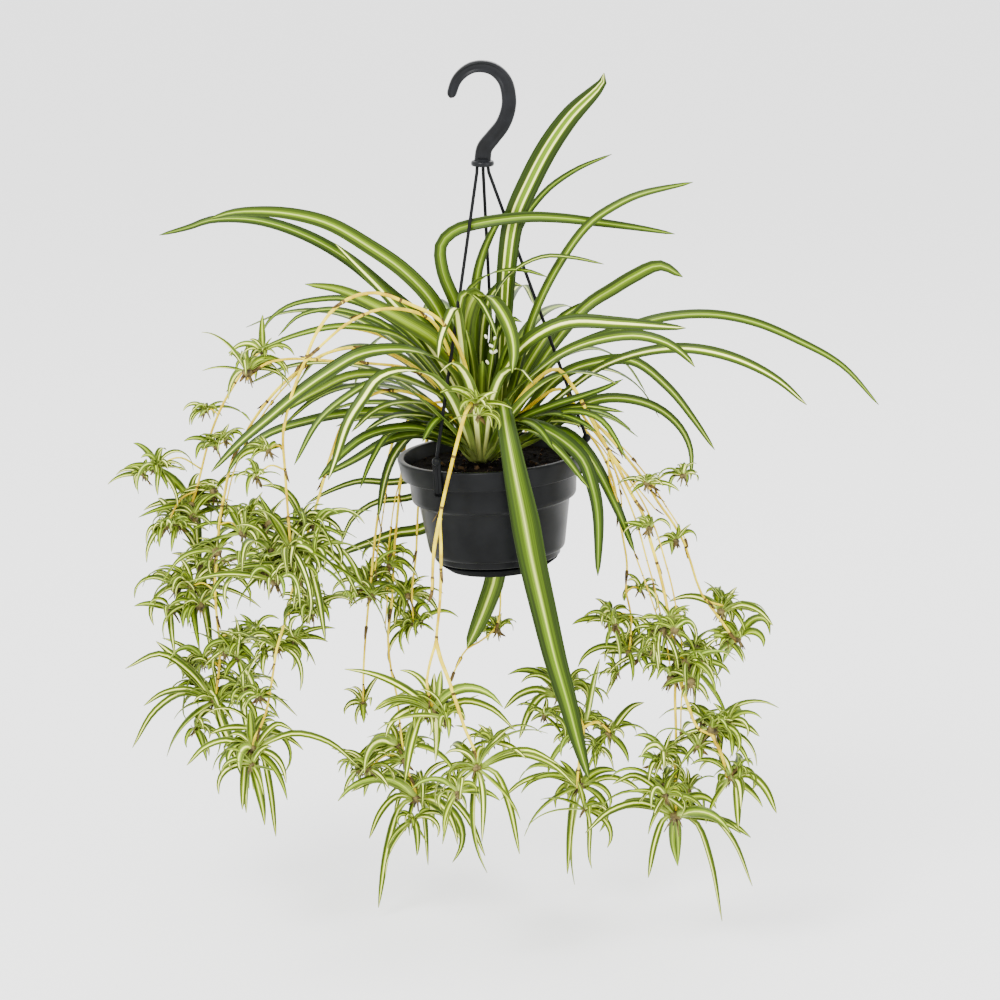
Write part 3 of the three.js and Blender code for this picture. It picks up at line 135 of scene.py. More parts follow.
# Each mother leaf: width, turn to the front in degrees, then its points [across, up] or
# [across, up, depth]. Between stated depths the depth runs evenly.
MOTHER_LEAVES = [
    # 0 to 9
    [29, 85, [[17, -328, -4], [21, -258], [25, -191], [32, -147], [47, -111], [66, -75], [89, -43], [112, -20],
     [120, -11], [122, -1, -14]]],
    [9, 60, [[18, -268, 30], [32, -168], [61, -122], [93, -98], [130, -82, 90]]],
    [13, 60, [[32, -308, -12], [50, -247], [79, -188], [106, -152], [132, -134], [158, -122],
     [211, -110, -40]]],
    [13, 55, [[-12, -308, -12], [-25, -236], [-39, -200], [-41, -173], [-28, -159], [-7, -152], [43, -145],
     [79, -146], [114, -150], [158, -156], [193, -162, -18]]],
    [12, 60, [[-8, -258, 4], [-5, -204], [4, -173], [18, -147], [30, -134, 10]]],
    [9, 55, [[-20, -258, -18], [-16, -224], [-4, -208], [18, -198], [43, -198], [66, -205, -28]]],
    [8, 50, [[8, -268, -12], [11, -227], [32, -198], [61, -184], [89, -185], [122, -192, -40]]],
    [24, 10, [[-18, -268, -22], [-14, -238, -30], [-5, -221, -38], [8, -222, -46], [21, -240, -56],
     [29, -260, -64], [32, -279, -73], [30, -301, -82]]],
    [12, 10, [[-22, -263, -30], [-17, -220, -44], [-4, -226, -56], [8, -246, -68], [15, -266, -80]]],
    [14, 20, [[-16, -328, -34], [-21, -263, -46], [-27, -234, -54], [-35, -248, -66], [-42, -268, -80],
     [-44, -286, -92]]],
    # 10 to 19
    [30, 0, [[14, -372, -34], [15, -334, -54], [20, -332, -76], [26, -362, -92], [34, -404, -104],
     [43, -448, -112], [51, -490, -116], [61, -535, -119], [73, -586], [87, -634], [98, -676],
     [107, -707, -124]]],
    [22, 0, [[10, -338, 40], [18, -326, 84], [21, -346, 114], [18, -448, 122], [13, -506, 122], [6, -528],
     [-5, -555], [-15, -576, 116]]],
    [11, 55, [[38, -333, -16], [78, -283, -22], [154, -252], [186, -244], [230, -242], [273, -250], [316, -268],
     [360, -293], [397, -333, -46]]],
    [15, 50, [[38, -358, -14], [89, -315, -30], [121, -293], [165, -279], [208, -276], [251, -285], [295, -307],
     [325, -333, -80]]],
    [18, 50, [[8, -328, -16], [32, -282, -30], [61, -259], [89, -249], [138, -251], [204, -256, -66]]],
    [18, 45, [[8, -358, -26], [28, -320, -44], [51, -301], [80, -280], [110, -268], [154, -263], [186, -271],
     [204, -284], [213, -295, -100]]],
    [12, 50, [[38, -348, 4], [78, -304, 10], [110, -291], [150, -288], [186, -315], [212, -347],
     [233, -378, 56]]],
    [11, 45, [[48, -368, 20], [110, -329, 36], [143, -326], [176, -336], [199, -356], [209, -378],
     [209, -408, 84]]],
    [9, 40, [[48, -364, -22], [78, -340, -40], [106, -341], [121, -349], [134, -367], [144, -387, -70]]],
    [17, 25, [[18, -372, -36], [32, -350, -56], [55, -352], [80, -366, -80], [101, -387], [110, -410],
     [116, -438], [116, -504, -100]]],
    # 20 to 29
    [15, 35, [[38, -368, -18], [78, -358, -30], [99, -373, -38], [118, -400], [135, -435], [153, -481, -52]]],
    [12, 10, [[16, -378, -40], [30, -358, -62], [56, -360, -84], [80, -381, -98], [107, -416, -112]]],
    [16, 55, [[48, -308, 20], [102, -236, 40], [132, -216], [150, -205], [178, -193], [201, -205, 70]]],
    [15, 60, [[38, -308, 26], [78, -248, 44], [105, -229, 54]]],
    [18, 50, [[-20, -313, -6], [-45, -236, -8], [-75, -201], [-115, -173], [-154, -151], [-194, -141],
     [-233, -139], [-253, -141], [-273, -147, -16]]],
    [15, 50, [[-20, -318, 14], [-52, -258, 22], [-95, -219], [-134, -187], [-174, -164], [-213, -150],
     [-243, -146], [-273, -148], [-293, -155], [-323, -163, 46]]],
    [23, 45, [[-12, -318, -26], [-42, -272, -34], [-75, -250], [-115, -229], [-144, -217], [-177, -212, -66]]],
    [9, 45, [[-27, -318, 22], [-82, -253, 44], [-134, -227], [-164, -227], [-194, -234], [-213, -248],
     [-226, -272, 84]]],
    [9, 45, [[-32, -323, 6], [-95, -254, 22], [-124, -242], [-154, -237], [-184, -244], [-204, -264, 40]]],
    [10, 45, [[-27, -328, -14], [-75, -268, -32], [-105, -257], [-144, -254], [-184, -262], [-223, -277, -64]]],
    # 30 to 39
    [17, 40, [[-14, -328, -40], [-36, -292, -66], [-65, -278], [-95, -276], [-124, -282], [-154, -300],
     [-184, -321], [-213, -345], [-243, -371], [-271, -400, -110]]],
    [14, 40, [[-16, -353, -20], [-35, -328, -34], [-65, -310], [-95, -302], [-134, -304], [-164, -318],
     [-194, -335], [-221, -353, -80]]],
    [17, 25, [[-16, -358, -46], [-36, -316, -78], [-55, -300, -88], [-85, -298], [-105, -306], [-119, -325],
     [-134, -349], [-146, -385], [-154, -408, -132]]],
    [14, 35, [[-22, -368, -16], [-75, -341, -36], [-134, -341], [-174, -348], [-213, -361], [-243, -383],
     [-256, -403, -60]]],
    [11, 30, [[-32, -353, -60], [-82, -312, -84], [-107, -308], [-134, -323], [-164, -349],
     [-188, -393, -126]]],
    [15, 30, [[-14, -374, -30], [-35, -364, -44], [-75, -354, -66], [-115, -363], [-144, -385],
     [-164, -408, -92]]],
    [13, 35, [[-18, -376, -12], [-65, -362, -24], [-95, -368], [-124, -385], [-164, -406, -34]]],
    [14, 30, [[-27, -366, -12], [-66, -359, -18], [-84, -376, -20], [-97, -404, -20], [-104, -446, -18]]],
    [14, 45, [[-20, -328, -16], [-58, -266, -22], [-98, -220], [-128, -190], [-147, -171, -30]]],
    [13, 0, [[-4, -366, -34], [-6, -345, -58], [-9, -322, -68], [-18, -300, -72], [-30, -290, -80],
     [-42, -300, -92]]],
    # 40 to 49
    [12, 0, [[4, -366, -33], [7, -345, -55], [11, -322, -64], [22, -300, -66], [38, -296, -74],
     [52, -312, -84]]],
    [15, 10, [[-2, -340, 2], [-2, -290, 6], [2, -245, 10], [10, -222, 14], [24, -210, 20], [40, -214, 26]]],
    [13, 10, [[2, -340, -8], [6, -300, -10], [14, -262, -12], [26, -246, -16], [40, -250, -22]]],
    [10, 30, [[-28, -362, -22], [-64, -350, -30], [-92, -360, -34], [-110, -386, -36], [-122, -416, -36]]],
    [15, 0, [[-10, -340, 60], [-14, -326, 96], [-18, -376, 118], [-30, -436, 122], [-58, -456, 120],
     [-86, -461, 116], [-111, -470, 112], [-137, -480, 108], [-154, -490, 104]]],
    [9, 0, [[-12, -340, 56], [-24, -332, 88], [-44, -372, 104], [-66, -404, 108], [-90, -410, 108],
     [-123, -409, 106], [-157, -421, 102], [-176, -432, 98]]],
    [9, 0, [[-6, -340, 60], [-14, -330, 92], [-32, -384, 112], [-54, -418, 116], [-76, -426, 116],
     [-106, -430, 112], [-130, -447, 108], [-142, -474, 104]]],
    [10, 20, [[30, -352, -20], [70, -333, -36], [100, -324, -44], [122, -316, -50], [141, -307, -56]]],
    [9, 20, [[34, -358, -16], [76, -338, -32], [104, -334, -40], [126, -337, -46], [142, -340, -50]]],
    [15, 10, [[16, -362, -44], [36, -332, -62], [58, -312, -72], [84, -300, -80], [110, -301, -86],
     [136, -312, -92]]],
]

# Leaves by their place in the list above: the half-width of the pale middle where one shows
# clearly (less than 0 for two pale stripes), how far a leaf turns its face to the front, the
# share of its width at its foot with the rate at which it widens, how blunt its tip is, and
# its shade from dark to bright.
STRIPES = {0: -1, 3: 0, 7: 0.05, 9: 0.3, 10: 0.04, 11: 0.08, 12: 0.02, 13: 0.16, 14: 0.16, 17: 0.03, 19: 0.02,
           20: 0.02, 21: 0.04, 22: 0.01, 24: 0.02, 25: 0.01, 26: 0, 27: 0.02, 28: 0.03, 29: 0.03, 31: 0.04,
           32: 0.2, 33: 0.02, 34: 0.04, 35: 0.02, 36: 0.01, 38: 0.2, 39: 0.3, 40: 0.25, 44: 0.12}
FACINGS = {0: 0.6, 3: 0.9, 4: 0.6, 10: 0.6, 14: 0.4, 16: 0.5, 17: 0.6, 22: 0.4, 24: 0.5, 26: 0.7, 38: 0.5,
           41: 0.9, 42: 0.7, 44: 0.9, 45: 0.9, 46: 0.9, 47: 0.6, 48: 0.6}
FEET = {0: (0.35, 0.73), 10: (0.08, 1.95), 13: (0.3, 0.95), 22: (0.28, 0.85), 26: (0.4, 1.4), 39: (0.85, 1),
        40: (0.85, 1)}
BLUNT = {0: 4.3, 11: 10, 22: 7, 26: 1.3}
# The higher tones of the leaves on the right, 12 to 18, 22 and 23, are partly painted sheen: they brighten those
# leaves for the light they catch.
TONES = {0: 0.15, 3: 0.3, 10: 0.2, 11: 0.15, 12: 0.45, 13: 0.5, 14: 0.5, 15: 0.5, 16: 0.45, 17: 0.4, 18: 0.5,
         19: 0.05, 20: 0.05, 22: 0.55, 23: 0.6, 26: 1, 33: 0.3, 35: 0.2, 36: 0.25, 37: 0.15, 39: 0.8, 40: 0.6,
         41: 0.2, 42: 0.1, 43: 0.3, 44: 0.5, 45: 0.2, 46: 0.25, 49: 0.3}
FOOT, BLUNTNESS = (0.5, 2.2), 3

# Filling leaves: first and last compass turn, count, length, rise, bend and width.
FILLERS = [
    [18, 165, 8, 300, 62, 118, 13],
    [30, 150, 5, 215, 74, 96, 12],
    [-22, 22, 3, 165, 50, 96, 12],
    [160, 205, 3, 260, 52, 104, 12],
    [200, 256, 2, 150, 64, 128, 13],
    [298, 340, 2, 150, 60, 100, 13],
    [225, 315, 5, 135, 84, 40, 13],
    [176, 236, 4, 150, 44, 74, 14],
]

# Each runner: name, radius where it starts, radius at its end, then the points of its stems.
RUNNERS = [
    ["left_front", 2.0, 1.2, [
        [[-8, -358, -20], [-12, -313, -44], [-26, -270, -62], [-45, -246, -72], [-75, -231, -80],
         [-105, -221, -84], [-127, -224, -87], [-148, -237, -89], [-166, -262, -90], [-178, -291, -90],
         [-188, -316, -90], [-195, -341, -91], [-199, -364, -92], [-197, -398, -92], [-195, -428, -92],
         [-192, -468, -92]],
        [[-12, -358, -14], [-30, -288, -34], [-50, -249, -56], [-75, -238, -68], [-105, -238, -77],
         [-134, -251, -84], [-158, -271, -88], [-178, -291, -90]],
    ]],
    ["left_upper", 1.7, 1.2, [
        [[-20, -348, -6], [-48, -310, -18], [-75, -296, -25], [-105, -292, -31], [-134, -290, -36],
         [-164, -288, -42], [-194, -287, -47], [-217, -292, -50], [-236, -308, -50]],
    ]],
    ["left_back", 1.8, 1.2, [
        [[-20, -353, 14], [-52, -308, 36], [-102, -278, 50], [-152, -280, 58], [-197, -310, 60],
         [-227, -346, 60], [-241, -371, 60], [-251, -392, 60], [-257, -420, 58], [-262, -447, 58],
         [-265, -482, 56], [-267, -518, 56], [-265, -547, 55], [-262, -578, 54], [-265, -618, 54]],
    ]],
    ["far_left", 1.6, 1.1, [
        [[-14, -348, 24], [-52, -294, 60], [-112, -260, 90], [-172, -258, 104], [-222, -280, 110],
         [-254, -323, 110], [-268, -353, 110], [-276, -379, 110], [-282, -404, 108], [-289, -430, 108]],
    ]],
    ["left_inner", 1.6, 1.1, [
        [[-20, -358, -12], [-62, -324, -30], [-102, -320, -34], [-134, -343, -34], [-151, -383, -34],
         [-160, -414, -34], [-167, -438, -35], [-176, -466, -36], [-183, -488, -36], [-189, -514, -37],
         [-194, -540, -38], [-205, -576, -38], [-210, -608, -39], [-216, -640, -40], [-228, -670, -40]],
    ]],
    ["side_back", 1.4, 1.0, [
        [[-16, -358, 26], [-52, -340, 60], [-84, -360, 78], [-98, -408, 80], [-106, -458, 78], [-111, -508, 76],
         [-115, -548, 74], [-118, -588, 72], [-119, -628, 70]],
    ]],
    ["back_left", 1.5, 1.0, [
        [[-10, -353, 30], [-42, -330, 72], [-70, -348, 98], [-80, -398, 106], [-85, -448, 104],
         [-88, -484, 102], [-90, -528, 98], [-94, -563, 94], [-91, -597, 90], [-85, -625, 86], [-80, -670, 82],
         [-74, -698, 80], [-66, -722, 78]],
    ]],
    ["back_left_short", 1.4, 1.0, [
        [[-4, -348, 34], [-28, -330, 84], [-50, -348, 114], [-60, -398, 120], [-64, -437, 120],
         [-66, -483, 118], [-70, -520, 114], [-69, -546, 112]],
    ]],
    ["front", 2.0, 1.2, [
        [[-2, -368, -24], [-3, -340, -50], [-8, -330, -78], [-16, -340, -98], [-22, -360, -106],
         [-29, -387, -110], [-39, -429, -114], [-42, -446, -114], [-41, -477, -114], [-42, -528, -114],
         [-45, -558, -113], [-46, -569, -113], [-52, -591, -110], [-55, -612, -106], [-50, -634, -104]],
        [[-46, -569, -113], [-41, -588, -114], [-34, -606, -116], [-26, -630, -118], [-17, -657, -119],
         [-9, -675, -120], [-2, -696, -120]],
        [[-42, -446, -114], [-48, -478, -117], [-50, -518, -118]],
    ]],
    ["back", 1.3, 0.9, [
        [[12, -348, 40], [16, -326, 88], [18, -348, 128], [20, -408, 136], [18, -488, 136], [15, -553, 134],
         [0, -568, 128], [-16, -578, 120], [-28, -600, 112]],
    ]],
    ["back_right", 1.6, 1.1, [
        [[20, -353, 36], [30, -328, 84], [42, -352, 122], [52, -418, 134], [61, -488, 132], [67, -548, 128],
         [71, -588, 122], [73, -622, 118]],
        [[71, -588, 122], [80, -618, 114], [96, -643, 108], [102, -655, 106]],
        [[102, -655, 106], [98, -680, 104], [95, -716, 102]],
        [[102, -655, 106], [116, -650, 102], [128, -660, 98]],
    ]],
    ["right", 2.0, 1.2, [
        [[18, -358, -18], [48, -314, -26], [75, -297, -32], [91, -315, -36], [106, -341, -40], [121, -369, -42],
         [129, -382, -43], [139, -401, -44], [150, -423, -44], [160, -440, -45], [169, -471, -45],
         [176, -495, -46], [182, -519, -46], [189, -558, -46], [194, -595, -46], [193, -624, -46],
         [194, -662, -46], [193, -701, -46], [194, -736, -46]],
        [[18, -368, -12], [53, -330, -14], [78, -317, -16], [95, -336, -24], [110, -356, -32],
         [129, -382, -43]],
        [[194, -595, -46], [206, -633, -52], [216, -656, -60], [230, -663, -64]],
        [[230, -663, -64], [240, -684, -60], [245, -706, -58]],
    ]],
    ["far_right", 1.7, 1.1, [
        [[24, -368, 2], [58, -336, 10], [80, -328, 16], [102, -340, 22], [124, -362, 26], [145, -386, 30],
         [165, -412, 32], [176, -430, 32], [191, -451, 33], [202, -471, 33], [208, -488, 33], [216, -513, 33],
         [224, -528, 32], [242, -534, 30]],
        [[224, -528, 32], [240, -550, 26], [254, -570, 22]],
    ]],
    ["right_back", 1.5, 1.0, [
        [[22, -363, 24], [58, -340, 52], [94, -350, 74], [118, -378, 80], [132, -412, 82], [136, -440, 82],
         [141, -466, 81], [145, -492, 80], [144, -518, 80], [149, -544, 79], [148, -576, 78]],
    ]],
]

# How far to one side the thinner stems beside a runner stray.
BESIDE = {"right": (-20, -9, 9), "right_back": (5,), "far_right": (-13, 5), "left_back": (6,),
          "side_back": (5,), "back_left": (-6,), "back": (5,)}

# Plantlets by runner: across, up, depth beside the runner, spread, how far it hangs from 0 to 1,
# and the number of its blades in the frame. Below, a plantlet goes by its place in this list,
# counted from 0.
ON_RUNNERS = [
    ["front", [[-6, -332, -14, 34, 0.0, 8]]],
    ["left_upper", [[-239, -310, 0, 52, 0.1, 9]]],
    ["far_left", [[-276, -338, 6, 28, 0.2, 6], [-325, -394, -28, 36, 0.3, 8], [-290, -432, 0, 54, 0.35, 8],
        [-316, -455, -30, 30, 0.4, 6]]],
    ["left_back", [[-266, -374, -24, 32, 0.2, 6], [-239, -461, -22, 70, 0.3, 9], [-290, -514, 14, 64, 0.4, 9],
        [-242, -572, -26, 46, 0.4, 8], [-279, -588, 16, 36, 0.4, 8], [-266, -628, 0, 70, 0.5, 10]]],
    ["left_front", [[-214, -378, -12, 24, 0.2, 6], [-226, -404, -26, 24, 0.3, 6],
        [-191, -478, 0, 84, 0.25, 12]]],
    ["left_inner", [[-174, -536, -14, 38, 0.4, 8], [-205, -576, 14, 42, 0.4, 8], [-223, -625, -12, 28, 0.4, 6],
        [-230, -676, 0, 72, 0.7, 10]]],
    ["side_back", [[-111, -514, 0, 46, 0.3, 8], [-119, -632, 0, 26, 0.3, 6]]],
    ["back_left", [[-88, -484, 0, 34, 0.3, 8], [-80, -674, 0, 60, 0.5, 8], [-113, -696, -20, 36, 0.5, 8],
        [-65, -726, 0, 76, 0.8, 10]]],
    ["back_left_short", [[-71, -525, 0, 38, 0.4, 8], [-69, -552, 0, 32, 0.5, 6]]],
    ["front", [[-48, -639, 0, 66, 0.4, 9], [-1, -701, 0, 66, 0.68, 9]]],
    ["back", [[15, -559, 0, 28, 0.3, 6]]],
    ["back_right", [[72, -627, 0, 52, 0.35, 8], [102, -658, 0, 44, 0.4, 8], [129, -664, 0, 36, 0.5, 8],
        [95, -721, 0, 64, 0.7, 9]]],
    ["far_right", [[201, -403, -20, 28, 0.2, 6], [194, -469, -14, 24, 0.3, 6], [243, -536, 0, 44, 0.4, 8],
        [255, -573, 0, 42, 0.5, 8]]],
    ["right", [[165, -411, -18, 22, 0.3, 6], [168, -456, -14, 26, 0.3, 6], [180, -556, -14, 38, 0.4, 8],
        [205, -590, -10, 52, 0.4, 8], [182, -681, -14, 32, 0.4, 6], [232, -663, 0, 56, 0.5, 9],
        [245, -710, 0, 44, 0.6, 8], [183, -723, -22, 42, 0.5, 8], [194, -743, 0, 76, 0.8, 10]]],
    ["right_back", [[158, -517, 10, 28, 0.3, 6], [129, -548, -10, 34, 0.4, 8], [147, -580, 0, 42, 0.5, 8]]],
]
PLANTLETS = [[name, *row] for name, rows in ON_RUNNERS for row in rows]

# Long single blades of a plantlet: the tip across and up from it, and the width.
LONG_BLADES = {
    4: [[4, -74, 10]],
    8: [[16, -72, 10]],
    11: [[-82, -48, 7], [-88, 36, 8], [80, -14, 7], [-70, -4, 7]],
    14: [[62, -44, 8], [30, -92, 8]],
    18: [[105, -17, 7], [20, -92, 7], [-7, -64, 8], [-62, -16, 7], [38, 20, 7]],
    19: [[-33, 46, 6]],
    24: [[-37, -117, 8], [8, -72, 7], [67, -60, 8], [-64, 9, 7], [-46, -42, 7]],
    26: [[-60, 24, 6]],
    27: [[76, -16, 8], [-56, 2, 7], [-26, -72, 9], [4, 42, 8]],
    28: [[-31, -78, 7], [39, -88, 7], [96, -18, 7], [80, 4, 7]],
    30: [[-54, -12, 8], [-38, -44, 8]],
    31: [[14, 71, 8]],
    32: [[34, 34, 9]],
    33: [[-11, -95, 9], [63, -8, 8], [-80, -12, 7]],
    36: [[50, -14, 8]],
    43: [[44, -6, 8]],
    44: [[43, -36, 8], [5, -54, 8]],
    45: [[-50, 13, 7]],
    46: [[74, -72, 8], [44, -110, 8], [-24, -65, 7], [-88, -16, 8]],
}

# Plantlets with more small heads crowded beside them, or fewer.
CROWDED = {1: 1, 4: 4, 7: 4, 8: 5, 9: 3, 10: 2, 11: 3, 14: 7, 15: 2, 16: 2, 19: 3, 33: 1, 40: 4, 41: 5,
           43: 3, 46: 1, 48: 2, 49: 3}

# Plantlets whose green is set: 0 is dark, 1 bright and yellow.
SHADES = {0: 1, 1: 0.7, 2: 0.4, 3: 0.5, 4: 0.3, 5: 0.4, 6: 0.3, 7: 0.2, 8: 0.3, 9: 0.3, 10: 0.3, 11: 0.3, 14: 0,
          15: 0.1, 16: 0.2, 17: 0.3, 18: 0.6, 19: 0.4, 22: 0.7, 24: 0.5, 27: 1, 28: 1, 33: 1, 37: 0.8, 40: 0.4,
          41: 0.3, 43: 0.5, 44: 0.6, 46: 0.5}

# Plantlets with fewer and broader blades, and those with a larger root knob.
BROAD = (0, 11, 18, 22, 24, 27, 28, 33, 36, 37, 44, 46)
ROOTY = {1: 1.3, 14: 1.6, 19: 1.6, 20: 1.3, 40: 1.3, 41: 1.4, 43: 1.5, 46: 1.3}


def draw(seed, n):
    """A repeatable number from 0 to 1 for the nth draw of a seed."""
    value = math.sin(seed * 12.9898 + n * 78.233) * 43758.5453
    return value - math.floor(value)


def mix(a, b, share):
    return a + (b - a) * share


# Places.
def heading(turn, rise=0.0):
    """The direction at a compass turn and a rise, both in radians."""
    return Vector((math.cos(rise) * math.cos(turn), math.cos(rise) * math.sin(turn), math.sin(rise)))


def level(vector):
    """A vector without its height."""
    return Vector((vector.x, vector.y, 0))


def squared(across, ahead):
    """The direction nearest to `across` that is square to the way ahead."""
    return (across - ahead * across.dot(ahead)).normalized()


def in_metres(place):
    """A place in millimetres as the matrix that puts a mesh there."""
    return Matrix.Translation(place.translation * MM) @ place.to_3x3().to_4x4()


def from_crown(first, share, above):
    """Where a leaf or runner towards its first point leaves the crown."""
    out = level(first - CROWN_FOOT)
    if out.length > CROWN["radius"] * share:
        out = out.normalized() * CROWN["radius"] * share
    return CROWN_FOOT + out + UP * above


def seen(point):
    """The real place of a point of the front elevation, at its depth."""
    across, up, depth = point
    s, c = math.sin(TILT), math.cos(TILT)
    rise = up - MID_UP
    reach = (depth + DISTANCE * c) / (DISTANCE * c + rise * s)
    height = MID_HEIGHT + DISTANCE * s + reach * (rise * c - DISTANCE * s)
    return Vector((MID_ACROSS + reach * (across - MID_ACROSS), depth, height))


def all_seen(points):
    """The real places of a line's points, with the depth run evenly between the stated ones."""
    gaps = (math.hypot(b[0] - a[0], b[1] - a[1]) for a, b in zip(points, points[1:]))
    lengths = list(accumulate(gaps, initial=0.0))
    known = [i for i, point in enumerate(points) if len(point) > 2]
    places = []
    for i, (across, up, *_) in enumerate(points):
        after = next(k for k in known if k >= i)
        before = next(k for k in reversed(known) if k <= i)
        share = 0 if after == before else (lengths[i] - lengths[before]) / (lengths[after] - lengths[before])
        places.append(seen([across, up, mix(points[before][2], points[after][2], share)]))
    return places


# Lines.
def smooth(points, each=10):
    """A finely stepped smooth line through the points."""
    ends = [points[0] * 2 - points[1], *points, points[-1] * 2 - points[-2]]
    line = [points[0].copy()]
    for a, b, c, d in zip(ends, ends[1:], ends[2:], ends[3:]):
        t1 = max((b - a).length ** 0.5, TINY)
        t2 = t1 + max((c - b).length ** 0.5, TINY)
        t3 = t2 + max((d - c).length ** 0.5, TINY)
        for k in range(1, each + 1):
            t = mix(t1, t2, k / each)
            low = a.lerp(b, t / t1)
            middle = b.lerp(c, (t - t1) / (t2 - t1))
            high = c.lerp(d, (t - t2) / (t3 - t2))
            line.append(low.lerp(middle, t / t2).lerp(middle.lerp(high, (t - t1) / (t3 - t1)), (t - t1) / (t2 - t1)))
    return line


def stations(line, count):
    """Places evenly spaced along a stepped line, each with the way ahead there."""
    lengths = list(accumulate(((b - a).length for a, b in zip(line, line[1:])), initial=0.0))
    places = []
    step = 0
    for i in range(count + 1):
        goal = lengths[-1] * i / count
        while step < len(line) - 2 and lengths[step + 1] < goal:
            step += 1
        run = max(lengths[step + 1] - lengths[step], TINY)
        place = line[step].lerp(line[step + 1], (goal - lengths[step]) / run)
        places.append((place, (line[step + 1] - line[step]).normalized()))
    return places


def line_length(line):
    return sum((b - a).length for a, b in zip(line, line[1:]))


def arc(root, compass, rise, length, bend, drift=0.0, steepest=STEEPEST):
    """An arc that leaves at a compass turn and a rise, and falls by `bend` along its length."""
    way = [root.copy()]
    for i in range(ARC_STEPS):
        share = (i + 0.5) / ARC_STEPS
        fall = math.radians(max(steepest, rise - bend * share ** 1.2))
        way.append(way[-1] + heading(math.radians(compass + drift * share), fall) * (length / ARC_STEPS))
    return way


# Meshes.
def new_mesh():
    made = bmesh.new()
    made.loops.layers.uv.new("UVMap")
    made.verts.layers.float.new("tone")
    made.verts.layers.float.new("stripe")
    return made


def sweep(made, rows, segments, section, tone=0.5, stripe=0.3):
    """A grid bent along its rows. A row is its centre, the directions across and out of the face,
    half its width and its depth; `section` gives the outline there as shares of those two."""
    grid = bmesh.ops.create_grid(made, x_segments=segments, y_segments=len(rows) - 1, size=0.5, calc_uvs=True)
    tones = made.verts.layers.float["tone"]
    stripes = made.verts.layers.float["stripe"]
    for corner in grid["verts"]:
        centre, across, face, half, deep = rows[round((corner.co.y + 0.5) * (len(rows) - 1))]
        a, b = section(corner.co.x + 0.5)
        corner.co = (centre + across * (a * half) + face * (b * deep)) * MM
        corner[tones] = tone
        corner[stripes] = stripe
    return grid["verts"]


def channel(u):
    """The section of a strap leaf: a shallow channel with its midrib lowest."""
    x = 2 * u - 1
    return x, abs(x) ** 1.35 - 1


def round_section(u):
    return math.cos(2 * math.pi * u), -math.sin(2 * math.pi * u)


def tube(made, line, count, sides, radius_at):
    """A round stem along a line, closed at both ends."""
    places = stations(line, count)
    across = Vector((1, 0, 0)) if abs(places[0][1].z) > 0.9 else UP
    rows = []
    for i, (centre, ahead) in enumerate(places):
        across = squared(across, ahead)
        radius = radius_at(i / count)
        rows.append((centre, across, across.cross(ahead), radius, radius))
    caps = []
    for end, side in ((0, -STEM_CAP), (-1, STEM_CAP)):
        centre, across, face, radius, _ = rows[end]
        caps.append((centre + places[end][1] * radius * side, across, face, 0, 0))
    corners = sweep(made, [caps[0], *rows, caps[1]], sides, round_section)
    bmesh.ops.remove_doubles(made, verts=corners, dist=TINY)


def turned(made, profile, sides, place):
    """A profile of [radius, height] spun once round the axis, then put in its place."""
    older = set(made.verts)
    line = [made.verts.new((radius * MM, 0, height * MM)) for radius, height in profile]
    edges = [made.edges.new(pair) for pair in zip(line, line[1:])]
    bmesh.ops.spin(made, geom=[*line, *edges], cent=(0, 0, 0), axis=(0, 0, 1), angle=2 * math.pi,
                   steps=sides, use_merge=True, use_duplicate=False)
    bmesh.ops.remove_doubles(made, verts=[v for v in made.verts if v not in older], dist=TINY)
    bmesh.ops.transform(made, matrix=in_metres(place), verts=[v for v in made.verts if v not in older])
    bmesh.ops.recalc_face_normals(made, faces=made.faces)


def egg(ball, centre, turn, wide, long):
    """Draws a ball out along its axis, turns it and puts it in its place."""
    for corner in ball["verts"]:
        x, y, z = corner.co
        corner.co = (centre + turn @ Vector((x * wide, y * wide, z * long))) * MM


def linked(name, data):
    made_object = bpy.data.objects.new(name, data)
    bpy.context.scene.collection.objects.link(made_object)
    return made_object


def ended(name, made, materials):
    """Ends a mesh and puts it in the scene."""
    mesh = bpy.data.meshes.new(name)
    made.to_mesh(mesh)
    made.free()
    for material in materials:
        mesh.materials.append(material)
    return linked(name, mesh)


def piece(name, made, materials, nodes, modifiers=()):
    """Ends a mesh as a piece of the object that stands for these nodes of the frame."""
    made_object = ended(name, made, materials)
    for polygon in made_object.data.polygons:
        polygon.use_smooth = True
    for kind, settings in modifiers:
        modifier = made_object.modifiers.new(kind.title(), kind)
        for key, value in settings.items():
            setattr(modifier, key, value)
    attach(made_object, "root")
    if nodes:
        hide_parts(*nodes)


def bevelled(width):
    return ("BEVEL", {"width": width * MM, "segments": 3, "limit_method": "ANGLE", "angle_limit": math.radians(32)})


def thickened(thick):
    """Thickness downwards from the upper face, with the second material below and at the edge."""
    return ("SOLIDIFY", {"thickness": thick * MM, "offset": -1, "material_offset": 1, "material_offset_rim": 1})


# Materials.
def colour(code):
    """An sRGB hex colour as the linear values that a shader takes."""
    parts = [int(code[i:i + 2], 16) / 255 for i in (1, 3, 5)]
    return (*[p / 12.92 if p <= 0.04045 else ((p + 0.055) / 1.055) ** 2.4 for p in parts], 1.0)


def add(tree, kind, inputs=None, **settings):
    """Adds a node; an input given a socket is linked to it, any other is set."""
    node = tree.nodes.new(kind)
    for key, value in settings.items():
        setattr(node, key, value)
    for key, value in (inputs or {}).items():
        if isinstance(value, bpy.types.NodeSocket):
            tree.links.new(value, node.inputs[key])
        else:
            node.inputs[key].default_value = value
    return node


def blank(name, **shader):
    """A material with one principled shader and these constant values on it."""
    material = bpy.data.materials.new(name)
    material.use_nodes = True
    tree = material.node_tree
    main = tree.nodes["Principled BSDF"]
    for key, value in shader.items():
        main.inputs[key.replace("_", " ")].default_value = value
    return material, tree, main


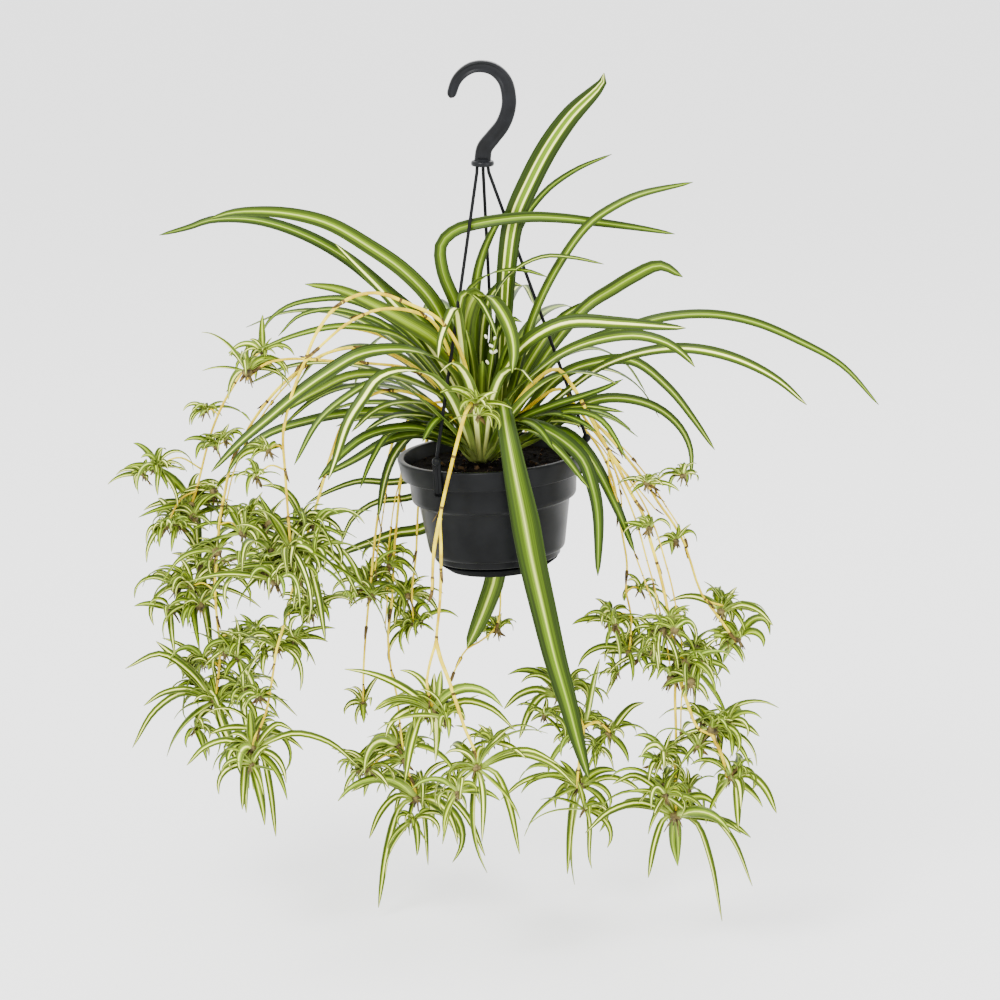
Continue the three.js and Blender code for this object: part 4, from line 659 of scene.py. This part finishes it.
def mixed(tree, share, low, high, kind="MIX"):
    node = add(tree, "ShaderNodeMix", {0: share, 6: low, 7: high}, data_type="RGBA", blend_type=kind)
    return node.outputs[2]


def mapped(tree, value, low, high, to_low=0.0, to_high=1.0):
    return add(tree, "ShaderNodeMapRange", {0: value, 1: low, 2: high, 3: to_low, 4: to_high}).outputs[0]


def counted(tree, operation, a, b=0.0, c=0.0):
    return add(tree, "ShaderNodeMath", {0: a, 1: b, 2: c}, operation=operation).outputs[0]


def noisy(tree, place, scale, detail, roughness=0.5):
    inputs = {"Vector": place, "Scale": scale, "Detail": detail, "Roughness": roughness}
    return add(tree, "ShaderNodeTexNoise", inputs).outputs[0]


def bumped(tree, main, height, strength, metres):
    bump = add(tree, "ShaderNodeBump", {"Strength": strength, "Distance": metres, "Height": height})
    tree.links.new(bump.outputs[0], main.inputs["Normal"])


def leaf_skin(name, margin, band, middle, foot, roughness, streaks, rim=0.0, veins=20.0):
    """Striped living leaf: waxy, with parallel veins. `stripe` on the mesh is the half-width of the
    pale middle, or less than 0 for two pale stripes, and `tone` the leaf's shade, on some leaves
    raised as painted sheen. `rim` is how pale its edges are. The pattern follows the leaf by its UV map."""
    material, tree, main = blank(name, Roughness=roughness, IOR=1.45, Specular_IOR_Level=0.12)
    place = add(tree, "ShaderNodeSeparateXYZ", {0: add(tree, "ShaderNodeUVMap", uv_map="UVMap").outputs[0]})
    across, along = place.outputs[0], place.outputs[1]
    tone = add(tree, "ShaderNodeAttribute", attribute_name="tone").outputs["Fac"]
    stripe = add(tree, "ShaderNodeAttribute", attribute_name="stripe").outputs["Fac"]
    off = counted(tree, "ABSOLUTE", counted(tree, "MULTIPLY_ADD", across, 2.0, -1.0))

    # Streaks run the leaf's length: the noise is drawn out along it.
    spot = add(tree, "ShaderNodeCombineXYZ", {0: counted(tree, "MULTIPLY", across, 9.0),
                                              1: counted(tree, "MULTIPLY", along, 1.4),
                                              2: counted(tree, "MULTIPLY", tone, 97.0)})
    streak = noisy(tree, spot.outputs[0], 1.0, 2.5, 0.6)
    edge = counted(tree, "ADD", off, counted(tree, "MULTIPLY_ADD", streak, streaks, -0.5 * streaks))
    one = counted(tree, "SUBTRACT", edge, stripe)
    two = counted(tree, "SUBTRACT", counted(tree, "ABSOLUTE", counted(tree, "SUBTRACT", edge, 0.3)), 0.03)
    pair = counted(tree, "LESS_THAN", stripe, 0.0)
    reach = add(tree, "ShaderNodeMix", {0: pair, 2: one, 3: two}, data_type="FLOAT").outputs[0]
    pale = counted(tree, "MULTIPLY", mapped(tree, reach, -0.03, 0.1, 1.0, 0.0),
                   counted(tree, "MAXIMUM", pair, mapped(tree, stripe, 0.0, 0.15, 0.2, 1.0)))
    outer = mapped(tree, edge, 0.1, 0.62)

    fine = add(tree, "ShaderNodeCombineXYZ", {0: counted(tree, "MULTIPLY", across, veins),
                                              1: counted(tree, "MULTIPLY", along, 2.0), 2: tone})
    vein = noisy(tree, fine.outputs[0], 1.0, 1.0)

    shaded = add(tree, "ShaderNodeHueSaturation", {
        "Color": mixed(tree, outer, colour(band), colour(margin)), "Hue": mapped(tree, tone, 0.0, 1.0, 0.5, 0.478),
        "Saturation": 1.0, "Value": counted(tree, "MULTIPLY", mapped(tree, tone, 0.0, 1.0, 0.62, 1.5),
                                            mapped(tree, vein, 0.32, 0.68, 0.74, 1.26))}).outputs[0]
    striped = mixed(tree, pale, shaded, colour(middle))
    rimmed = mixed(tree, mapped(tree, off, 0.74, 0.98, 0.0, rim), striped, colour(middle)) if rim else striped
    ribbed = mixed(tree, mapped(tree, vein, 0.3, 0.7, 0.0, 0.7), rimmed, colour("#e4f08a"), "SOFT_LIGHT")
    based = mixed(tree, mapped(tree, along, 0.03, 0.22, 0.85, 0.0), ribbed, colour(foot))
    tree.links.new(based, main.inputs["Base Color"])
    bumped(tree, main, vein, 0.35, 0.5 * MM)
    return material


def mottled(name, dark, light, spot_mm, roughness, bump_mm=0.0, bump_spot_mm=1.0, low=0.35, high=0.65, **shader):
    """A material whose colour drifts between two shades in spots of a real size."""
    material, tree, main = blank(name, Roughness=roughness, **shader)
    place = add(tree, "ShaderNodeTexCoord").outputs["Object"]
    share = mapped(tree, noisy(tree, place, 1 / (spot_mm * MM), 4.0, 0.6), low, high)
    tree.links.new(mixed(tree, share, colour(dark), colour(light)), main.inputs["Base Color"])
    if bump_mm:
        bumped(tree, main, noisy(tree, place, 1 / (bump_spot_mm * MM), 3.0), 0.6, bump_mm * MM)
    return material


# Moulded polypropylene: near black, satin, with the faint orange peel of the mould and dust on it.
MOULDED_POLYPROPYLENE = mottled("moulded_polypropylene", "#08090a", "#111213", 38, 0.34, 0.05, 1.6,
                                IOR=1.49, Specular_IOR_Level=0.085)
# The same plastic in the saucer, rougher and with less reflection; its darker colour is painted shade, for the shade
# under the pot.
SAUCER_POLYPROPYLENE_PAINTED_SHADE = mottled("saucer_polypropylene_painted_shade", "#050606", "#0c0d0e", 24, 0.7, 0.05, 1.6,
                                IOR=1.49, Specular_IOR_Level=0.02)
# The same plastic in the hook, glossier and more reflective; its lighter colour is painted sheen.
HOOK_POLYPROPYLENE_PAINTED_SHEEN = mottled("hook_polypropylene_painted_sheen", "#0a0b0c", "#16171a", 30, 0.3, 0.05, 1.6, IOR=1.49,
                             Specular_IOR_Level=0.14)
# The same plastic in the strands, finer in grain and a little duller.
EXTRUDED_POLYPROPYLENE = mottled("extruded_polypropylene", "#08090a", "#0f1011", 12, 0.38, 0.03, 1.2,
                                 IOR=1.49, Specular_IOR_Level=0.08)
# Moist peat: nearly black brown, rough, in crumbs of 2 to 3 mm.
MOIST_PEAT = mottled("moist_peat", "#040302", "#120c07", 3, 0.95, 1.6, 2.0, Specular_IOR_Level=0.05)
# Chipped pine bark: nearly black to tan, and dull.
PINE_BARK = mottled("pine_bark", "#0c0805", "#5a4329", 7, 0.88, 0.5, 1.5, low=0.42, high=0.72,
                    Specular_IOR_Level=0.15)
# Runner skin: ochre to straw yellow, waxy.
RUNNER_SKIN = mottled("runner_skin", "#b09004", "#f0da24", 26, 0.5, 0.15, 2.5, IOR=1.45, Specular_IOR_Level=0.1)
# Dried bracts and joints: papery and brown.
DRY_BRACT = mottled("dry_bract", "#2c2312", "#6c582e", 5, 0.8, 0.3, 1.2, Specular_IOR_Level=0.1)
# Plantlet roots: fleshy, dark brown to olive tan.
ROOT_FLESH = mottled("root_flesh", "#2c2614", "#74663a", 5, 0.6, 0.2, 1.5, Specular_IOR_Level=0.15)
# Buds and small flowers: waxy white.
PETAL_WAX = mottled("petal_wax", "#dcd9b4", "#f7f4e2", 4, 0.5)

MOTHER_TOP = leaf_skin("spider_leaf_upper", "#24340a", "#526c10", "#f6f8a0", "#aabe50", 0.38, 0.4)
MOTHER_BACK = leaf_skin("spider_leaf_under", "#3a4c1c", "#667e2c", "#e6ec92", "#b0c05e", 0.5, 0.34)
YOUNG_TOP = leaf_skin("plantlet_leaf_upper", "#263805", "#769008", "#fafc98", "#8ea238", 0.4, 0.4, 0.08, 18.0)
YOUNG_BACK = leaf_skin("plantlet_leaf_under", "#3b4f16", "#789428", "#f2f494", "#96aa48", 0.5, 0.34, 0.12, 18.0)


# Pot, saucer and soil.
def pot_and_saucer():
    for name, profile, sides, material, node, edge in (
            ("hanging_pot", POT_PROFILE, 128, MOULDED_POLYPROPYLENE, "pot", 0.5),
            ("saucer", SAUCER_PROFILE, 112, SAUCER_POLYPROPYLENE_PAINTED_SHADE, "drip_saucer", 0.3)):
        made = new_mesh()
        turned(made, profile, sides, POT_FRAME)
        piece(name, made, [material], [node], [bevelled(edge)])


def soil():
    """A lumpy disc that lies flat at its edge, made of a square eased to a circle, and bark on it."""
    made = new_mesh()
    grid = bmesh.ops.create_grid(made, x_segments=SOIL_GRID, y_segments=SOIL_GRID, size=1, calc_uvs=True)
    for corner in grid["verts"]:
        x, y = corner.co.x, corner.co.y
        flat = Vector((x * math.sqrt(1 - y * y / 2), y * math.sqrt(1 - x * x / 2), 0)) * SOIL_RADIUS
        inside = 1 - min(1, flat.length / SOIL_RADIUS) ** 6
        lumps = sum(height * noise.noise(flat * scale) for height, scale in SOIL_LUMPS)
        corner.co = POT_FRAME @ (flat + Vector((0, 0, -SOIL_DEPTH + lumps * inside - 0.6))) * MM
    piece("potting_mix", made, [MOIST_PEAT], ["potting_soil"],
          [("SOLIDIFY", {"thickness": 6 * MM, "offset": -1})])

    bark = new_mesh()
    for k in range(BARK_CHIPS):
        turn = 2 * math.pi * draw(k, 1)
        reach = (SOIL_RADIUS - 5) * math.sqrt(draw(k, 2))
        spot = Vector((reach * math.cos(turn), reach * math.sin(turn), -SOIL_DEPTH + 0.6 + 1.2 * draw(k, 3)))
        size = Vector((3 + 7 * draw(k, 4) ** 2, 2 + 3 * draw(k, 5), 1.2 + 1.4 * draw(k, 6)))
        tipped = Quaternion((draw(k, 7) - 0.5, draw(k, 8) - 0.5, 2 * draw(k, 9) - 1, draw(k, 10) + 0.2)).normalized()
        chip = bmesh.ops.create_cube(bark, size=1)
        for corner in chip["verts"]:
            taper = 0.65 + 0.5 * draw(k, 11 + round(corner.co.x + corner.co.y * 2 + 2))
            corner.co = POT_FRAME @ (spot + tipped @ (corner.co * size * taper)) * MM
    piece("bark_chips", bark, [PINE_BARK], [], [("BEVEL", {"width": 0.5 * MM, "segments": 1})])


# The hanger.
def width_at(table, along):
    for (a, low), (b, high) in zip(table, table[1:]):
        if along <= b:
            return mix(low, high, (along - a) / (b - a))
    return table[-1][1]


def hook():
    """The bar, rounded off over its first rows and drawn in at its foot, with the collar below it."""
    made = new_mesh()
    line = smooth([Vector((x, 0, z)) for x, z in HOOK_LINE])
    rows = []
    for i, (centre, ahead) in enumerate(stations(line, HOOK_STEPS)):
        swell = max(math.sqrt(max(0.0, 1 - (1 - min(1, i / 3)) ** 2)), 0.02)
        half = width_at(HOOK_WIDTHS, i / HOOK_STEPS) / 2
        rows.append((centre, Vector((ahead.z, 0, -ahead.x)), Vector((0, 1, 0)), half * swell, HOOK_THICK / 2 * swell))
    centre, across, face, half, deep = rows[-1]
    rows.append((centre - UP * 1.5, across, face, half * 0.4, deep * 0.4))
    last = len(HOOK_SECTION) - 1
    corners = sweep(made, rows, last, lambda u: HOOK_SECTION[round(u * last)])
    bmesh.ops.remove_doubles(made, verts=corners, dist=TINY)
    bmesh.ops.holes_fill(made, edges=[e for e in made.edges if e.is_boundary], sides=0)
    top, bottom = COLLAR["top"], COLLAR["bottom"]
    turned(made, [[0, bottom + 0.6], [9.4, bottom], [10.7, bottom + 0.3], [11.3, bottom + 1.1], [11.5, bottom + 2.4],
                  [11.3, top - 1], [10.5, top], [9.6, top + 0.3], [8.4, top + 0.9], [7.6, top + 2.6], [0, top + 3]],
           48, Matrix.Translation((COLLAR["x"], 0, 0)))
    piece("hook", made, [HOOK_POLYPROPYLENE_PAINTED_SHEEN], ["hanger_hook"])


def strand(name):
    """A strand from the collar to the rim. A flat clip stands on the rim band and hooks in under it,
    with a rib on its back; the strand ends in a small ball."""
    x, y, turn = SOCKETS[name]
    radius = RIM_RADIUS + 0.3 + CLIP["thick"] / 2
    around = POT_FRAME @ Matrix.Rotation(math.radians(turn), 4, "Z")
    foot = around @ Vector((0, -radius, CLIP["above"]))
    made = new_mesh()
    start = Vector((x, y, COLLAR["bottom"] - 2))
    tube(made, [start + UP * 8, start, start.lerp(foot, 0.5), foot], 24, 12, lambda along: STRAND_THICK / 2)
    wide, thick, above, below, toe = (CLIP[key] for key in ("wide", "thick", "above", "below", "toe"))
    for size, spot in (((wide, thick, above + below), (0, -radius, (above - below) / 2)),
                       ((wide, toe, 4.2), (0, -radius - thick / 2 + toe / 2, -below + 2.1)),
                       ((wide * 0.34, 1.6, 26), (0, -radius - 1.2, -8))):
        block = bmesh.ops.create_cube(made, size=MM)
        bmesh.ops.scale(made, vec=size, verts=block["verts"])
        sharp = list({edge for corner in block["verts"] for edge in corner.link_edges})
        rounded = bmesh.ops.bevel(made, geom=sharp, offset=0.45 * MM, segments=2, profile=0.5, affect="EDGES",
                                  material=-1)
        corners = [v for v in {*rounded["verts"], *block["verts"]} if v.is_valid]
        bmesh.ops.transform(made, matrix=in_metres(around @ Matrix.Translation(spot)), verts=corners)
    knob = bmesh.ops.create_uvsphere(made, u_segments=20, v_segments=14, radius=CLIP["knob"] * MM)
    bmesh.ops.translate(made, vec=foot * MM, verts=knob["verts"])
    piece(f"strand_{name}", made, [EXTRUDED_POLYPROPYLENE], [f"hanger_strand_{name}"])


# The rosette.
def strap_leaf(made, way, wide, turn, seed, stripe, facing=0.0, foot=FOOT, tone=None, blunt=BLUNTNESS):
    """A leaf that stands edge on in the crown, turns its face outwards as it arches, and may turn
    it to the front. It narrows to its foot and its tip, ripples a little and folds at the foot."""
    line = smooth([from_crown(way[0], 0.5, 5), *way])
    far = level(way[-1] - CROWN_FOOT).normalized()
    count = max(FEWEST_STATIONS, round(line_length(line) / LEAF_STEP))
    rows = []
    last = None
    for i, (centre, ahead) in enumerate(stations(line, count)):
        along = i / count
        outward = level(centre - CROWN_FOOT)
        near = min(1, outward.length / (CROWN["radius"] * 2.4))
        outward = (far.lerp(outward.normalized(), near) if outward.length > 1 else far).normalized()
        across = squared(outward.cross(UP), ahead)
        across.rotate(Quaternion(ahead, math.radians(turn) * max(-1, min(1, outward.x * 1.6))))
        if facing:
            front = squared(ahead.cross(TO_FRONT), ahead)
            across = squared(across.lerp(front, facing * min(1, along * 4)), ahead)
        if last is not None:
            across = squared(last.lerp(across, 0.35), ahead)
        last = across
        half = wide / 2 * max(0.3, min(1, foot[0] + along * foot[1])) * math.sqrt(max(0.0004, 1 - along ** blunt))
        ripple = 0.4 * math.sin(along * 19 + seed) * (half / 6)
        face = across.cross(ahead)
        rows.append((centre + face * ripple, across, face, half, half * mix(0.62, 0.24, min(1, along * 3))))
    sweep(made, rows, 6, channel, 0.05 + 0.8 * draw(seed, 9) if tone is None else tone, stripe)


def rosette():
    made = new_mesh()
    for i, (wide, turn, points) in enumerate(MOTHER_LEAVES):
        stripe = STRIPES.get(i, 0.11 * draw(i, 5) ** 1.4)
        strap_leaf(made, all_seen(points), wide, turn, i + 3, stripe, FACINGS.get(i, 0), FEET.get(i, FOOT),
                   TONES.get(i), BLUNT.get(i, BLUNTNESS))
    for ring, (first, last, count, length, rise, bend, wide) in enumerate(FILLERS):
        for k in range(count):
            seed = ring * 20 + k + 1
            compass = mix(first, last, (k + 0.5) / count) + 12 * (draw(seed, 1) - 0.5)
            start = CROWN_FOOT + heading(math.radians(compass)) * CROWN["radius"] / 2 + UP * 16
            way = arc(start, compass, rise + 16 * (draw(seed, 3) - 0.5), length * (0.8 + 0.4 * draw(seed, 2)),
                      bend * (0.85 + 0.3 * draw(seed, 4)))
            strap_leaf(made, way[1:], wide, 15, seed + 50, 0.12 * draw(seed, 6) ** 1.6)
    piece("mother_plant", made, [MOTHER_TOP, MOTHER_BACK], ["mother_rosette"], [thickened(LEAF_THICK)])


# Runners.
def runner_line(points):
    """A stem's line. One that starts in the crown is led down to its foot."""
    way = all_seen(points)
    if (way[0] - CROWN_FOOT).length < CROWN["radius"] * 3:
        way.insert(0, from_crown(way[0], 0.6, 8))
    return smooth(way)


def core_size(spread):
    return 3.8 + spread * 0.04


def seat(plantlet, thick, thin, lines):
    """Where a plantlet sits: close beside its runner, or at the end of a stalk of its own, and then
    also where that stalk starts."""
    _, across, up, aside, spread, _, _ = plantlet
    options = []
    for line in lines:
        for i, (place, ahead) in enumerate(stations(line, SEAT_STEPS)):
            if SEAT_FROM <= i <= SEAT_TO:
                core = seen([across, up, place.y + aside])
                apart = math.hypot(core.x - place.x, core.z - place.z)
                options.append((apart, place, core, ahead, i / SEAT_STEPS))
    _, place, core, ahead, along = min(options, key=lambda option: option[0])
    size = core_size(spread)
    thickness = mix(thick, thin, along)
    if (core - place).length > 2 * size + thickness:
        return core, place
    out = core - place + Vector((place.x - POT_RIM.x, place.y, 0)).normalized() * 2
    return place + squared(out, ahead) * (size * 0.795 + thickness), None


def knot(made, centre, ahead, radius):
    """The thickened joint of a runner."""
    ball = bmesh.ops.create_uvsphere(made, u_segments=8, v_segments=6, radius=1)
    egg(ball, centre, ahead.to_track_quat("Z", "Y"), radius * 1.35, radius * 1.5)


def bract(made, centre, ahead, length, seed):
    """A small pointed dry leaf at a joint of a runner."""
    side = squared(heading(seed * 2.4) + UP * 0.3, ahead)
    way = [centre, centre + ahead * length * 0.45 + side * length * 0.14,
           centre + ahead * length * 0.85 + side * length * 0.32]
    rows = []
    for i, (place, forward) in enumerate(stations(smooth(way, 4), 5)):
        across = squared(side.cross(ahead), forward)
        half = 1.9 * math.sqrt(max(0.01, 1 - (i / 5) ** 1.6))
        rows.append((place, across, across.cross(forward), half, half * 0.6))
    folded = sweep(made, rows, 2, channel)
    faces = list({face for corner in folded for face in corner.link_faces})
    bmesh.ops.solidify(made, geom=faces, thickness=0.3 * MM)


def beside(line, across, number):
    """A thinner stem that leaves a line and wanders beside it."""
    away = 8 * draw(across, 3) - 3
    places = stations(line, 60)[22:round(60 * (0.72 + 0.1 * number))]
    last = len(places) - 1
    return [place + Vector((across, away, 0)) * math.sin(math.pi * 0.86 * (i / last) ** 0.7)
            for i, (place, _) in enumerate(places)][::3]


def runner_and_seats(runner):
    """A runner's stems with their stalks, and the seats, lines and bracts for its plantlets."""
    name, thick, thin, stems = runner
    lines = [runner_line(points) for points in stems]
    seats = {i: seat(p, thick, thin, lines) for i, p in enumerate(PLANTLETS) if p[0] == name}
    made = new_mesh()
    bracts = new_mesh()
    for number, across in enumerate(BESIDE.get(name, ())):
        line = smooth(beside(lines[0], across, number), 4)
        tube(made, line, 48, 6, lambda along: mix(thick * 0.5, 0.75, along))
        for k in range(3, 7):
            centre, ahead = stations(line, 70)[k * 10 - 3 - round(6 * draw(k, number))]
            knot(bracts, centre, ahead, 0.7)
            if k % 2:
                bract(bracts, centre, ahead, 5 + 4 * draw(k, number), k + 7 * number)
        bract(bracts, line[-1], ahead, 12, number)
    for number, line in enumerate(lines):
        length = line_length(line)
        tube(made, line, max(8, round(length / 7)), 8, lambda along: mix(thick, thin, along) * 1.08)
        joints = max(1, round(length / JOINT_EVERY))
        for k in range(1, joints + 1):
            share = (k - 0.4 + 0.25 * draw(number * 9 + k, len(name))) / joints
            if 0.22 <= share <= 0.98:
                centre, ahead = stations(line, 200)[round(share * 200)]
                knot(bracts, centre, ahead, mix(thick, thin, share))
                bract(bracts, centre, ahead, 9 + 12 * draw(k, number + 2), k + 13 * number + len(name))
        if min((core - line[-1]).length for core, _ in seats.values()) > 16:
            for k in range(3):
                bract(bracts, line[-1], (line[-1] - line[-2]).normalized(), 8 + 4 * k, k * 5 + number)
    for core, start in seats.values():
        if start is not None:
            middle = core.lerp(start, 0.5) + UP * (core - start).length * 0.2
            tube(made, smooth([start, middle, core]), 10, 6, lambda along: 0.95)
    piece(f"runner_stem_{name}", made, [RUNNER_SKIN], [f"runner_{name}"])
    return seats, lines, bracts


# Plantlets.
def blade(made, way, wide, seed, stripe, facing, tone, blunt=2.3):
    """A blade of a plantlet, which may turn its face to the front and twists as it goes."""
    flat = level(way[2] - way[0])
    flat = flat.normalized() if flat.length > 0.1 else Vector((1, 0, 0))
    rows = []
    last = None
    for i, (centre, ahead) in enumerate(stations(smooth(way, 5), BLADE_STATIONS)):
        along = i / BLADE_STATIONS
        across = squared(flat.cross(UP), ahead)
        front = squared(ahead.cross(TO_FRONT), ahead)
        across = squared(across.lerp(front if front.dot(across) > 0 else -front, facing), ahead)
        if last is not None:
            across = squared(last.lerp(across if across.dot(last) > 0 else -across, 0.5), ahead)
        last = across.copy()
        across.rotate(Quaternion(ahead, 1.1 * (draw(seed, 4) - 0.5) * (0.4 + along)))
        half = wide / 2 * min(1, 0.5 + along * 1.7) * max(0.04, (1 - along ** blunt) ** 0.8)
        rows.append((centre, across, across.cross(ahead), half, half * mix(0.75, 0.35, along)))
    sweep(made, rows, 4, channel, tone, stripe)


def behind(way, core, stems):
    """Turns a blade that would hide a runner to the far side of its plantlet."""
    for point in way[1:]:
        for x, y in stems.get(round(point.z / STEM_CELL), ()):
            if abs(point.x - x) < 7 and point.y < y + 1:
                for each in way:
                    each.y = core.y + abs(each.y - core.y)
                return


def tuft(leaves, bracts, core, spread, hang, count, seed, shade, broad, stems):
    """One head of blades round a leaning axis: short curled ones inside, long ones arching out,
    and a few dry ones under them."""
    size = core_size(spread)
    axis = heading(2 * math.pi * draw(seed, 11)) * (0.2 + 0.6 * draw(seed, 12)) * (0.6 + hang) + UP
    upright = axis.normalized().to_track_quat("Z", "Y")
    full = 6 + 0.78 * spread
    for k in range(count):
        mark = seed * 37 + k
        inner = (k + 0.5) / count
        hanging = inner > 0.35 and draw(mark, 10) < 0.1 + 0.35 * hang
        away = math.radians(mix(4, 54 + 24 * hang, inner ** 0.8) + 30 * (draw(mark, 1) - 0.5) + 48 * hanging)
        around = math.radians(GOLDEN_ANGLE * k + 50 * (draw(mark, 2) - 0.5))
        out = upright @ Vector((math.sin(away) * math.cos(around), math.sin(away) * math.sin(around), math.cos(away)))
        compass = math.degrees(math.atan2(out.y, out.x))
        rise = math.degrees(math.asin(max(-1, min(1, out.z))))
        length = full * (0.55 + 0.95 * inner ** 1.6) * (0.75 + 0.6 * draw(mark, 3))
        bend = mix(70 + 150 * draw(mark, 4), 70 + 75 * draw(mark, 4), inner)
        bend *= 0.4 if hanging or draw(mark, 13) < 0.12 else 1
        way = arc(core + out * size * 0.4, compass, rise, length, bend, 90 * (draw(mark, 7) - 0.5), STEEPEST_BLADE)
        for point in way:
            point.y = mix(core.y, point.y, 0.82)
        behind(way, core, stems)
        wide = (3 + spread * 0.04 + 2.6 * inner) * (0.75 + 0.5 * draw(mark, 5)) * broad
        blade(leaves, way, wide, mark, 0.26 * draw(mark, 8) ** 1.5, 0.8 * draw(mark, 6),
              0.5 * shade + 0.5 * draw(mark, 9))
    for k in range(round(2.4 * draw(seed, 15))):
        turn = 2 * math.pi * draw(seed + k, 16)
        down = (heading(turn) - UP * (0.5 + draw(seed + k, 17))).normalized()
        bract(bracts, core + down * size * 0.5, down, 9 + 8 * draw(seed + k, 18), seed + k)


def long_blade(leaves, core, size, across, up, wide, seed, tone):
    """A single blade out to its tip: it arches over to a low one, and runs nearly straight to a
    steep one."""
    if up < 0:
        bow = (0, 0), (0.36, 0.12), (0.72, 0.46), (1, 1)
    elif up < abs(across):
        bow = (0, 0), (0.25, 0.5), (0.6, 0.95), (1, 1)
    else:
        bow = (0, 0), (0.3, 0.35), (0.65, 0.7), (1, 1)
    root = core + Vector((math.copysign(0.5 * size, across), 0, 0))
    lift = UP * abs(across) * 0.2
    way = [root + Vector((across * a, -0.12 * abs(across) * a, up * b)) + lift * math.sin(math.pi * a) for a, b in bow]
    blade(leaves, way, wide, seed, 0.13, 0.7, tone, 4)


def knob(roots, core, size, seed):
    """The fibrous root knob under a plantlet, with its short fleshy roots."""
    ball = bmesh.ops.create_icosphere(roots, subdivisions=2, radius=1)
    for corner in ball["verts"]:
        rough = size * (0.72 + 0.3 * noise.noise(corner.co * 2.3 + Vector((seed, 0, 0))))
        x, y, z = corner.co
        corner.co = (core + Vector((x, y, z * 0.85 - 0.15)) * rough) * MM
    for k in range(3 + round(3 * draw(seed, 6))):
        mark = seed * 17 + k
        lean = (heading(2 * math.pi * draw(mark, 1)) - UP * (0.9 + 0.8 * draw(mark, 2))).normalized()
        start = core + lean * size * 0.4
        length = size * (0.9 + 0.8 * draw(mark, 3))
        bent = start + lean * length * 0.6 - UP * 0.1 * length
        tip = bent + lean * length * 0.5 - UP * 0.2 * length
        tube(roots, smooth([start, bent, tip], 3), 4, 6, lambda along: mix(1.3, 0.5, along))


def plantlet(leaves, roots, bracts, index, core, stems):
    """A main head, smaller heads crowded against it, the long blades, and the root knobs."""
    _, _, _, _, spread, hang, count = PLANTLETS[index]
    size = core_size(spread)
    shade = SHADES.get(index, 0.2 + 0.6 * draw(index, 31))
    most, broad = (7, 1.3) if index in BROAD else (12, 1)
    more = round(most * min(1, spread / 40))
    tuft(leaves, bracts, core, spread, hang, count + more, index + 1, shade, broad, stems)
    knob(roots, core, size * ROOTY.get(index, 1), index)
    heads = CROWDED.get(index, 0 if spread < 30 else 1 if spread < 46 else 2)
    first = 2 * math.pi * draw(index, 21)
    for k in range(heads):
        seed = index * 5 + k + 90
        turn = first + 2 * math.pi * (k + 0.4 * draw(seed, 1)) / heads
        way = Vector((math.cos(turn), 0.7 * math.sin(turn), 0.9 * math.sin(turn + 0.8) - 0.15))
        side = core + way * spread * (0.24 + 0.2 * draw(seed, 3))
        tuft(leaves, bracts, side, spread * (0.42 + 0.22 * draw(seed, 4)) + 6, hang, 13, seed, shade, 1, stems)
        knob(roots, side, size * (1.15 if heads > 3 else 0.7), seed)
    for across, up, wide in LONG_BLADES.get(index, ()):
        long_blade(leaves, core, size, across, up, wide, index * 5 + wide, 0.2 + 0.5 * shade)


def plantlets():
    """One piece of leaves and one of roots for each runner's plantlets."""
    for runner in RUNNERS:
        name = runner[0]
        seats, lines, bracts = runner_and_seats(runner)
        stems = {}
        for line in lines:
            for point in line[len(line) // 5:]:
                stems.setdefault(round(point.z / STEM_CELL), []).append((point.x, point.y))
        leaves, roots = new_mesh(), new_mesh()
        for index, (core, _) in seats.items():
            plantlet(leaves, roots, bracts, index, core, {} if index == 0 else stems)
        start = f"plantlets_{name}_"
        mine = [n for n in sorted(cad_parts) if n.startswith(start) and n[len(start):].isdigit()]
        piece(f"plantlet_leaves_{name}", leaves, [YOUNG_TOP, YOUNG_BACK], mine, [thickened(BLADE_THICK)])
        piece(f"plantlet_roots_{name}", roots, [ROOT_FLESH], [])
        piece(f"runner_bracts_{name}", bracts, [DRY_BRACT], [])


def buds():
    """Small dried flowers and buds on the front runner, above its first plantlet."""
    made = new_mesh()
    for k in range(9):
        spot = seen([mix(1, 17, draw(k, 1)), mix(-264, -292, draw(k, 2)), -62 + 8 * draw(k, 3)])
        lean = Vector((draw(k, 4) - 0.5, draw(k, 5) - 0.5, 0.7)).normalized().to_track_quat("Z", "Y")
        ball = bmesh.ops.create_icosphere(made, subdivisions=1, radius=1)
        egg(ball, spot, lean, 1.5, (3.2 + 2.4 * draw(k, 6)) * 0.6)
    piece("flower_buds", made, [PETAL_WAX], [])


# The studio.
def looking(made_object, place, aim):
    """Puts a camera or lamp in its place and points it at the plant."""
    made_object.location = place
    made_object.rotation_euler = (aim - made_object.location).to_track_quat("-Z", "Y").to_euler()


def studio():
    aim = Vector((MID_ACROSS, 0, MID_HEIGHT)) * MM
    camera = linked("camera", bpy.data.cameras.new("camera"))
    camera.data.sensor_width = 36
    camera.data.lens = LENS
    camera.data.clip_end = 200
    looking(camera, aim + TO_FRONT * DISTANCE * MM, aim)
    bpy.context.scene.camera = camera

    made = bmesh.new()
    bmesh.ops.create_grid(made, x_segments=1, y_segments=1, size=FLOOR_SIZE)
    bmesh.ops.translate(made, vec=(0, 0, FLOOR * MM), verts=made.verts)
    paper, _, _ = blank("seamless_paper", Base_Color=colour("#f6f6f6"), Roughness=0.9)
    floor = ended("floor", made, [paper])

    world = bpy.data.worlds.new("studio")
    world.use_nodes = True
    world.node_tree.nodes["Background"].inputs["Color"].default_value = colour("#ffffff")
    world.node_tree.nodes["Background"].inputs["Strength"].default_value = WORLD
    bpy.context.scene.world = world
    for name, place, size, power in LIGHTS:
        light = bpy.data.lights.new(name, "AREA")
        light.shape = "DISK"
        light.size = size
        light.energy = power
        looking(linked(name, light), place, aim)


studio()
pot_and_saucer()
soil()
hook()
for name in SOCKETS:
    strand(name)
rosette()
plantlets()
buds()
